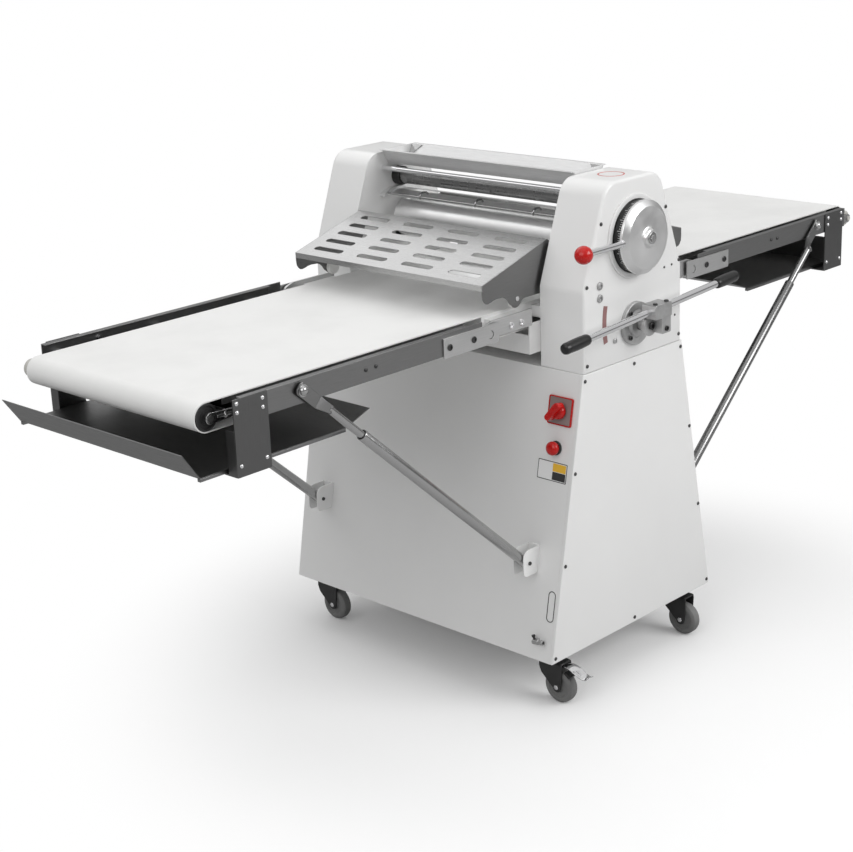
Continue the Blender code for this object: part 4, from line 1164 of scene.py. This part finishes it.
def end_plates(table, turn):
    body = f"{table}_table"
    low = 0.7136
    bm = bmesh.new()
    rivets = bmesh.new()
    for end, outer in ((-1, PLATE_OUTER[0]), (1, PLATE_OUTER[1])):
        inner = outer - PLATE_WIDTH
        outline = rounded(-outer, -inner, low, RAIL_TOP + 0.001, 0.0012, 2)
        add_plate(bm, outline, end, RAIL_Y + 0.0002, RAIL_Y + 0.0028)
        near, far = sorted((end * 0.275, end * (RAIL_Y + 0.0003)))
        add_box(bm, -outer, -outer + 0.0025, near, far, low, RAIL_LOW - 0.012)
        near, far = sorted((end * 0.262, end * (RAIL_Y + 0.0003)))
        add_box(bm, -outer + 0.0001, -inner, near, far, low, low + 0.003)
        for x, z in ((-outer + 0.008, 0.848), (-outer + 0.008, 0.832), (-inner - 0.012, 0.845)):
            rivet(rivets, x, end, z)
        for x, z in ((-inner - 0.012, 0.828), (-outer + 0.010, 0.734), (-inner - 0.010, 0.735)):
            rivet(rivets, x, end, z)
    piece(f"{table}_end_plates", bm, "steel_plate", body, bevel=0.0005, turn=turn)
    piece(f"{table}_end_plate_rivets", rivets, "chrome", body, turn=turn)


def rivet(bm, x, end, z):
    head_r = 0.0042
    profile = [(0, head_r), (0.0010, head_r * 0.96), (0.0019, head_r * 0.76), (0.0025, head_r * 0.42)]
    profile += [(0.0027, 0.0003)]
    add_turned(bm, profile, (x, end * (RAIL_Y + 0.0028), z), (0, end, 0), 16)


def rail_fasteners(table, turn):
    body = f"{table}_table"
    bm = bmesh.new()
    for end in (-1, 1):
        for x, z in ((-0.460, 0.8262), (-0.391, 0.8262)):
            profile = [(0, 0.0065), (0.0012, 0.0068), (0.0024, 0.0058), (0.0028, 0.0034), (0.0012, 0.0030)]
            add_turned(bm, profile, (x, end * (RAIL_Y + 0.0032), z), (0, end, 0), 24)
        for x, z in ((-0.684, 0.8335), (-0.658, 0.8345)):
            add_screw(bm, (x, end * RAIL_Y, z), (0, end, 0), SCREW_R)
    piece(f"{table}_rail_screws", bm, "screw", body, turn=turn)
    bm = bmesh.new()
    for end, y in ((-1, 0.256), (1, 0.2765)):
        outline = [(-0.955, 0.815)] + arc(-END_X, LOOP_Z, 0.0105, 270, 90, 14) + [(-0.955, 0.827)]
        add_plate(bm, outline, end, y, y + 0.006)
        add_rod(bm, (-0.999, end * (y + 0.003), 0.821), (1, 0, 0), -0.012, 0.020, 0.0040, 16)
        add_hex(bm, (-0.990, end * (y + 0.003), 0.821), (-1, 0, 0), 0.0070, 0.0055)
    piece(f"{table}_roller_tensioners", bm, "steel_strut", body, bevel=0.0006, turn=turn)


def end_roller(table, turn):
    bm = bmesh.new()
    profile = [(-0.2635, 0.0055), (-0.2630, 0.0060), (-0.2505, 0.0060), (-0.2505, 0.0120), (-0.2480, 0.0125)]
    profile += [(-0.2480, 0.0205), (-0.2508, 0.0215), (-0.2508, 0.0240), (-0.2500, 0.0248), (0.2505, 0.0248)]
    profile += [(0.2510, 0.0190)]
    add_turned(bm, profile, (-END_X, 0, LOOP_Z), (0, 1, 0), 48)
    piece(f"{table}_end_roller_tube", bm, "dark", f"{table}_end_roller", [f"{table}_end_roller"], turn=turn)
    bm = bmesh.new()
    cap = [(0.2512, 0.0180), (0.2515, 0.0190), (0.2690, 0.0190), (0.2735, 0.0178), (0.2755, 0.0150)]
    cap += [(0.2755, 0.0060), (0.2855, 0.0058)]
    add_turned(bm, cap, (-END_X, 0, LOOP_Z), (0, 1, 0), 48)
    piece(f"{table}_end_roller_cap", bm, "cap", f"{table}_end_roller", turn=turn)


def catch_tray(table, turn):
    low, high = near_head(f"{table}_catch_tray")
    floor = low.z + 0.0065
    outer = (high.x if turn else -low.x) - 0.036
    inner = outer - 0.349
    sheet = 0.0015
    outline = [(-outer, floor), (-inner, floor), (-inner + 0.064, floor + 0.023)]
    outline += [(-inner + 0.0635, floor + 0.0245)]
    outline += [(-inner - 0.0005, floor + sheet), (-outer + 0.001, floor + sheet)]
    outline += [(-outer - 0.0345, floor + 0.0525), (-outer - 0.036, floor + 0.0515)]
    half_y = high.y
    bm = bmesh.new()
    add_prism(bm, outline, "Y", -half_y, half_y)
    piece(
        f"{table}_crumb_pan",
        bm,
        "steel_dark",
        f"{table}_catch_tray",
        [f"{table}_catch_tray"],
        bevel=0.0004,
        turn=turn,
    )
    bm = bmesh.new()
    add_rod(bm, (-outer - 0.0346, 0, floor + 0.0512), (0, 1, 0), -half_y, half_y, 0.0011, 12)
    for end in (-1, 1):
        near, far = sorted((end * (half_y - 0.008), end * half_y))
        add_box(bm, -outer, -inner, near, far, floor - 0.0065, floor - 0.0002)
    piece(f"{table}_crumb_pan_hems", bm, "steel_x", f"{table}_catch_tray", bevel=0.0008, turn=turn)


def hinge_bracket(table, turn):
    """Link plates with hinge pins, and the slider bed inside the inner belt."""
    bm = bmesh.new()
    for end in (-1, 1):
        outline = [(-0.207, 0.814), (-0.207, BELT_TOP), (-0.330, BELT_TOP)]
        outline += arc(-HINGE_X, HINGE_Z, 0.020, 100, 270, 14)
        outline += [(-HINGE_X + 0.003, 0.8060), (-0.320, 0.8140)]
        add_plate(bm, outline, end, 0.287, 0.293)
        near, far = sorted((end * 0.288, end * (RAIL_Y + 0.0018)))
        add_rod(bm, (-HINGE_X, 0, HINGE_Z), (0, 1, 0), near, far, 0.0080, 32)
    piece(
        f"{table}_link_plates",
        bm,
        "steel_tab",
        "stand",
        [f"{table}_hinge_bracket"],
        bevel=0.0008,
        turn=turn,
    )
    bm = bmesh.new()
    add_box(bm, -0.310, -0.1265, -0.247, 0.247, 0.815, BELT_TOP - 0.0036)
    add_box(bm, -0.300, -0.210, -0.2868, 0.2868, 0.816, 0.840)
    add_box(bm, -0.158, -0.128, -HOUSING_IN + 0.0004, HOUSING_IN - 0.0004, 0.816, 0.840)
    piece(f"{table}_inner_bed", bm, "white", "stand", bevel=0.0010, turn=turn)
    bm = bmesh.new()
    for end in (-1, 1):
        for x in (-0.272, -0.241):
            profile = [(0, 0.0068), (0.0022, 0.0068), (0.0034, 0.0056), (0.0036, 0.0034), (0.0018, 0.0030)]
            add_turned(bm, profile, (x, end * 0.293, 0.8275), (0, end, 0), 24)
    piece(f"{table}_link_bolts", bm, "chrome", "stand", turn=turn)


def tables():
    for table, turn in (("left", False), ("right", True)):
        belt(table, turn)
        table_frame(table, turn)
        end_roller(table, turn)
        catch_tray(table, turn)
        hinge_bracket(table, turn)
        guard(table, turn)


# ---- guards ---------------------------------------------------------------------------------------------


def guard(table, turn):
    """A slotted plate with a lip, a shaped wing at each end and two nylon rollers."""
    body = f"{table}_guard"
    inner = (-0.133, 0.9770)
    front = (-0.333, 0.9180)
    sheet = 0.0015
    half_y = 0.272
    slope = math.atan2(inner[1] - front[1], inner[0] - front[0])
    outline = [inner, front, (front[0], front[1] - 0.012), (front[0] + sheet, front[1] - 0.012)]
    outline += [(front[0] + sheet, front[1] - sheet), (inner[0], inner[1] - sheet)]
    bm = bmesh.new()
    add_prism(bm, outline, "Y", -half_y, half_y)
    plate = piece(f"{table}_guard_plate", bm, "steel_y", body, [f"{table}_guard"])
    slots = bmesh.new()
    for row in range(5):
        share = (row + 0.85) / 5.55
        x = front[0] + (inner[0] - front[0]) * share
        z = front[1] + (inner[1] - front[1]) * share
        for column in range(4):
            y = (column - 1.5) * 0.132
            shape = arc(0, 0.0355, 0.0075, 0, 180, 8) + arc(0, -0.0355, 0.0075, 180, 360, 8)
            cut = bmesh.new()
            add_prism(cut, shape, "Z", -0.01, 0.01)
            cut.transform(Matrix.Translation((x, y, z)) @ Matrix.Rotation(-slope, 4, "Y"))
            mesh = bpy.data.meshes.new("slot")
            cut.to_mesh(mesh)
            cut.free()
            slots.from_mesh(mesh)
            bpy.data.meshes.remove(mesh)
    cut_out(plate, slots)
    soften_edges(plate, 0.0004)
    if turn:
        there = Matrix.Translation(HEAD)
        plate.data.transform(there @ HALF_TURN @ there.inverted())
    wing = [inner, front, (-0.333, 0.900), (-0.3315, 0.889), (-0.327, 0.882), (-0.322, 0.8785)]
    wing += [(-0.316, 0.8775)]
    wing += [(-0.308, 0.8790), (-0.300, 0.8815), (-0.290, 0.8825), (-0.272, 0.8815), (-0.264, 0.8785)]
    wing += [(-0.258, 0.873), (-0.252, 0.864)]
    wing += arc(-0.232, 0.8700, 0.0170, 220, 320, 10)
    wing += [(-0.2140, 0.8645), (-0.208, 0.8675), (-0.200, 0.868), (-0.150, 0.868)]
    wing += arc(-GUARD_PIVOT[0], GUARD_PIVOT[1], 0.012, -60, 90, 10)
    bm = bmesh.new()
    for end in (-1, 1):
        add_plate(bm, wing, end, half_y - sheet, half_y - 0.00005)
        near, far = sorted((end * (half_y - 0.001), end * (HOUSING_IN + 0.007)))
        add_rod(bm, (-GUARD_PIVOT[0], 0, GUARD_PIVOT[1]), (0, 1, 0), near, far, 0.0050, 20)
    piece(f"{table}_guard_wings", bm, "steel_x", body, bevel=0.0004, turn=turn)
    bm = bmesh.new()
    screws = bmesh.new()
    for end in (-1, 1):
        place = (-0.2300, end * 0.2685, 0.8675)
        profile = [(-0.0085, 0.0040), (-0.0085, 0.0145), (-0.0070, 0.0160), (0.0010, 0.0160)]
        profile += [(0.0020, 0.0145), (0.0020, 0.0040)]
        add_turned(bm, profile, place, (0, end, 0), 32)
        add_hex(screws, (place[0], end * half_y, place[2] + 0.004), (0, end, 0), 0.0055, 0.0035)
    piece(f"{table}_guard_rollers", bm, "nylon", body, turn=turn)
    piece(f"{table}_guard_roller_screws", screws, "chrome", body, bevel=0.0003, turn=turn)


# ---- struts ---------------------------------------------------------------------------------------------


def strut(table, place, side, end):
    pin = Vector((side * CLEVIS_X, end * STRUT_Y, CLEVIS_Z))
    bolt = Vector((side * BOLT_X, end * STRUT_Y, BOLT_Z))
    along = (bolt - pin).normalized()
    name = f"{table}_{place}_strut"
    # The right struts take a darker copy of the same steel as the left ones: painted shade.
    steel = "steel_strut" if side < 0 else "steel_painted_shade"
    bm = bmesh.new()
    profile = [(-0.010, 0.0088), (-0.008, 0.0102), (-0.004, 0.0110), (0.5970, 0.0110), (0.5980, 0.0105)]
    profile += [(0.5980, 0.0088), (0.5960, 0.0084), (0.2700, 0.0084), (0.2690, 0.0005)]
    add_turned(bm, profile, pin, along, 32)
    piece(f"{name}_outer_tube", bm, steel, f"{name}_tube", [f"{name}_tube"])
    bm = bmesh.new()
    add_rod(bm, pin, (0, 1, 0), -0.0185, 0.0185, 0.0041, 20, 0.0006)
    piece(f"{name}_clevis_pin", bm, "screw", f"{name}_tube")
    bm = bmesh.new()
    down = -along
    add_rod(bm, bolt, down, 0.066, 0.470, 0.0078, 32)
    piece(f"{name}_inner_rod", bm, steel, f"{name}_rod")
    strap(name, bolt, down, end)


def strap(name, bolt, down, end):
    """The flat end of a rod: a strap with clipped corners that bends in to the rail."""
    flat = RAIL_Y + 0.0036
    width = 0.0125
    bm = bmesh.new()
    outline = [(-0.0085, -width), (0.046, -width), (0.046, width), (-0.0085, width), (-width, 0.006)]
    outline += [(-width, -0.006)]
    add_prism(bm, outline, "Z", flat, flat + 0.004)
    deep = [(0.0460, width, flat, flat + 0.004), (0.0560, 0.0105, flat + 0.0025, flat + 0.0085)]
    deep += [(0.0680, 0.0078, STRUT_Y - 0.0078, STRUT_Y + 0.0078)]
    deep += [(0.0740, 0.0070, STRUT_Y - 0.0070, STRUT_Y + 0.0070)]
    loops = []
    for x, half, near, far in deep:
        corners = ((-half, near), (half, near), (half, far), (-half, far))
        loops.append([Vector((x, y, z)) for y, z in corners])
    add_loft(bm, loops)
    forward = Vector((down.x, 0, down.z))
    out = Vector((0, end, 0))
    across = out.cross(forward)
    place = Matrix((forward, across, out)).transposed().to_4x4()
    place.translation = Vector((bolt.x, 0, bolt.z))
    bm.transform(place)
    piece(f"{name}_strap", bm, "steel_x", f"{name}_rod", [f"{name}_rod"], bevel=0.0006)
    bm = bmesh.new()
    axis = (0, end, 0)
    centre = (bolt.x, 0, bolt.z)
    add_turned(
        bm, [(flat + 0.004, 0.0115), (flat + 0.0055, 0.0115), (flat + 0.0055, 0.004)], centre, axis, 32
    )
    head = [(flat + 0.0055, 0.0088), (flat + 0.0085, 0.0086), (flat + 0.0110, 0.0068)]
    head += [(flat + 0.0123, 0.0035), (flat + 0.0124, 0.0004)]
    add_turned(bm, head, centre, axis, 32)
    add_rod(bm, centre, axis, 0.2885, flat + 0.001, 0.0050, 20)
    add_turned(bm, [(0.2878, 0.0080), (0.2938, 0.0080)], centre, axis, 6)
    piece(f"{name}_bolt", bm, "steel_strut", f"{name}_rod")


def struts():
    for table, side in SIDES:
        for place, end in ENDS:
            strut(table, place, side, end)


# ---- casters --------------------------------------------------------------------------------------------


def caster(place, table, side, end):
    x = side * CASTER_X
    y = end * CASTER_Y
    wheel_y = y - TRAIL
    name = f"{place}_{table}_caster"
    inner = 0.0141
    bm = bmesh.new()
    head = [(0.0925, 0.021), (0.0935, 0.0235), (0.0965, 0.0260), (0.0990, 0.0268), (0.1030, 0.0268)]
    head += [(0.1035, 0.0240)]
    head += [(0.1045, 0.0240), (0.1050, 0.0268), (0.1070, 0.0268), (0.1076, 0.0260)]
    add_turned(bm, head, (x, y, 0), (0, 0, 1), 40)
    crown = rounded(x - inner - 0.0025, x + inner + 0.0025, wheel_y - 0.0135, y + 0.0235, 0.004, 3)
    add_prism(bm, crown, "Z", 0.0902, 0.0943)
    cheek = [(y + 0.0235, 0.0935), (wheel_y - 0.0135, 0.0935), (wheel_y - 0.0150, 0.0860)]
    cheek += arc(wheel_y, WHEEL_R, 0.0115, 195, 345, 10)
    cheek += [(y + 0.0200, 0.0620), (y + 0.0255, 0.0760), (y + 0.0255, 0.0880)]
    for edge in (-1, 1):
        near, far = sorted((x + edge * inner, x + edge * (inner + 0.0025)))
        add_prism(bm, cheek, "X", near, far)
    piece(f"{name}_yoke", bm, "dark", name, [f"{name}_fork"], bevel=0.0008)
    bm = bmesh.new()
    add_rod(bm, (x, wheel_y, WHEEL_R), (1, 0, 0), -inner - 0.0025, inner + 0.0025, 0.0043, 20)
    for edge in (-1, 1):
        add_hex(bm, (x + edge * (inner + 0.0025), wheel_y, WHEEL_R), (edge, 0, 0), 0.0060, 0.0025)
    piece(f"{name}_axle", bm, "chrome", name, bevel=0.0003)
    bm = bmesh.new()
    half = 0.0125
    profile = [(-half + 0.001, 0.0052), (-half, 0.0060), (-half, 0.0120), (-half + 0.0030, 0.0132)]
    profile += [(-half + 0.0030, 0.0235)]
    profile += [(-half + 0.0004, 0.0250), (-half, 0.0270), (-half + 0.0008, 0.0325)]
    profile += [(-half + 0.0035, 0.0362), (-half + 0.0075, WHEEL_R - 0.0001)]
    profile += [(-a, r) for a, r in reversed(profile)]
    add_turned(bm, profile, (x, wheel_y, WHEEL_R), (1, 0, 0), 48, ring=True)
    piece(f"{name}_tyre", bm, "rubber", f"{name}_wheel", [f"{name}_wheel"])


def brake_pedal():
    """A pressed, crowned pedal with a turned-up toe, above the brake shoe."""
    x = -CASTER_X
    wheel_y = -CASTER_Y - TRAIL
    shoe = [(wheel_y - 0.0180, 0.0725), (wheel_y - 0.0310, 0.0640), (wheel_y - 0.0350, 0.0690)]
    shoe += [(wheel_y - 0.0200, 0.0780)]
    bm = bmesh.new()
    add_prism(bm, shoe, "X", x - 0.0138, x + 0.0138)
    piece("front_left_caster_brake_shoe", bm, "black", "front_left_caster", bevel=0.0010)
    side_view = [(0.0165, 0.0905), (0.026, 0.0908), (0.036, 0.0885), (0.048, 0.0832), (0.058, 0.0780)]
    side_view += [(0.066, 0.0752)]
    side_view += [(0.073, 0.0756), (0.0775, 0.0778)]
    loops = []
    for i, (out, z) in enumerate(side_view):
        half = 0.0120 + 0.0022 * math.sin(math.pi * min(i / (len(side_view) - 1) * 1.25, 1.0))
        loop = []
        for k in range(9):
            share = k / 8 * 2 - 1
            loop.append(Vector((x + half * share, wheel_y - out, z + 0.0012 - 0.0022 * share * share)))
        for k in range(9):
            share = 1 - k / 8 * 2
            loop.append(Vector((x + half * share, wheel_y - out, z - 0.0008 - 0.0022 * share * share)))
        loops.append(loop)
    bm = bmesh.new()
    add_loft(bm, loops)
    piece("brake_pedal_plate", bm, "chrome", "brake_pedal", ["caster_brake_pedal"], bevel=0.0003)


def casters():
    for table, side in SIDES:
        for place, end in ENDS:
            caster(place, table, side, end)
    brake_pedal()


# ---- stage ----------------------------------------------------------------------------------------------


def floor():
    mesh = bpy.data.meshes.new("floor")
    size = 30
    mesh.from_pydata(
        [(-size, -size, 0), (size, -size, 0), (size, size, 0), (-size, size, 0)], [], [(0, 1, 2, 3)]
    )
    mesh.materials.append(floor_look())
    add_object("floor", mesh)


def area_light(name, place, target, size, power):
    light = bpy.data.lights.new(name, "AREA")
    light.shape = "RECTANGLE"
    light.size = size[0]
    light.size_y = size[1]
    light.energy = power
    obj = add_object(name, light)
    obj.location = place
    obj.rotation_euler = (Vector(target) - Vector(place)).to_track_quat("-Z", "Y").to_euler()


def lights():
    area_light("key", (1.4, -4.2, 3.0), (0, 0, 0.6), (3.0, 2.4), 118)
    area_light("top", (-0.2, 0.2, 3.6), (0, 0, 0), (3.6, 2.6), 15)
    area_light("left", (-4.2, -0.8, 3.0), (0, 0, 0.7), (4.0, 3.0), 61)
    area_light("back", (0.0, 3.6, 3.9), (0, 0, 0.8), (6.0, 2.0), 34)
    world = bpy.data.worlds.new("studio")
    bpy.context.scene.world = world
    world.use_nodes = True
    nodes = world.node_tree.nodes
    links = world.node_tree.links
    nodes.clear()
    place = nodes.new("ShaderNodeTexCoord")
    split = nodes.new("ShaderNodeSeparateXYZ")
    ramp = nodes.new("ShaderNodeValToRGB")
    half = nodes.new("ShaderNodeMapRange")
    half.inputs["From Min"].default_value = -1
    links.new(place.outputs["Generated"], split.inputs["Vector"])
    links.new(split.outputs["Z"], half.inputs["Value"])
    links.new(half.outputs["Result"], ramp.inputs["Fac"])
    elements = ramp.color_ramp.elements
    for height, _ in WALL_GREYS[1:-1]:
        elements.new((height + 1) / 2)
    for element, (height, level) in zip(elements, WALL_GREYS):
        element.position = (height + 1) / 2
        element.color = (*grey(level), 1)
    output = nodes.new("ShaderNodeOutputWorld")
    mix = nodes.new("ShaderNodeMixShader")
    path = nodes.new("ShaderNodeLightPath")
    room = nodes.new("ShaderNodeBackground")
    white = nodes.new("ShaderNodeBackground")
    white.inputs["Color"].default_value = (1, 1, 1, 1)
    links.new(ramp.outputs["Color"], room.inputs["Color"])
    links.new(path.outputs["Is Camera Ray"], mix.inputs["Fac"])
    links.new(room.outputs["Background"], mix.inputs[1])
    links.new(white.outputs["Background"], mix.inputs[2])
    links.new(mix.outputs["Shader"], output.inputs["Surface"])


def camera():
    """Stands left of the operator, looking down along the belts at the head."""
    data = bpy.data.cameras.new("camera")
    data.lens = 74.6
    data.sensor_width = 36
    obj = add_object("camera", data)
    yaw = -0.7984
    pitch = 0.3152
    roll = -0.0399
    forward = Vector((-math.sin(yaw) * math.cos(pitch), math.cos(yaw) * math.cos(pitch), -math.sin(pitch)))
    level = Vector((math.cos(yaw), math.sin(yaw), 0))
    upward = level.cross(forward)
    right = math.cos(roll) * level + math.sin(roll) * upward
    up = -math.sin(roll) * level + math.cos(roll) * upward
    turn = Matrix((right, up, -forward)).transposed().to_4x4()
    turn.translation = HEAD + Vector((-2.8472, -2.5544, 1.7396))
    obj.matrix_world = turn
    bpy.context.scene.camera = obj
    bpy.context.scene.view_settings.view_transform = "Standard"


camera()
cabinet()
controls()
head()
dial()
lever()
tables()
struts()
casters()
floor()
lights()
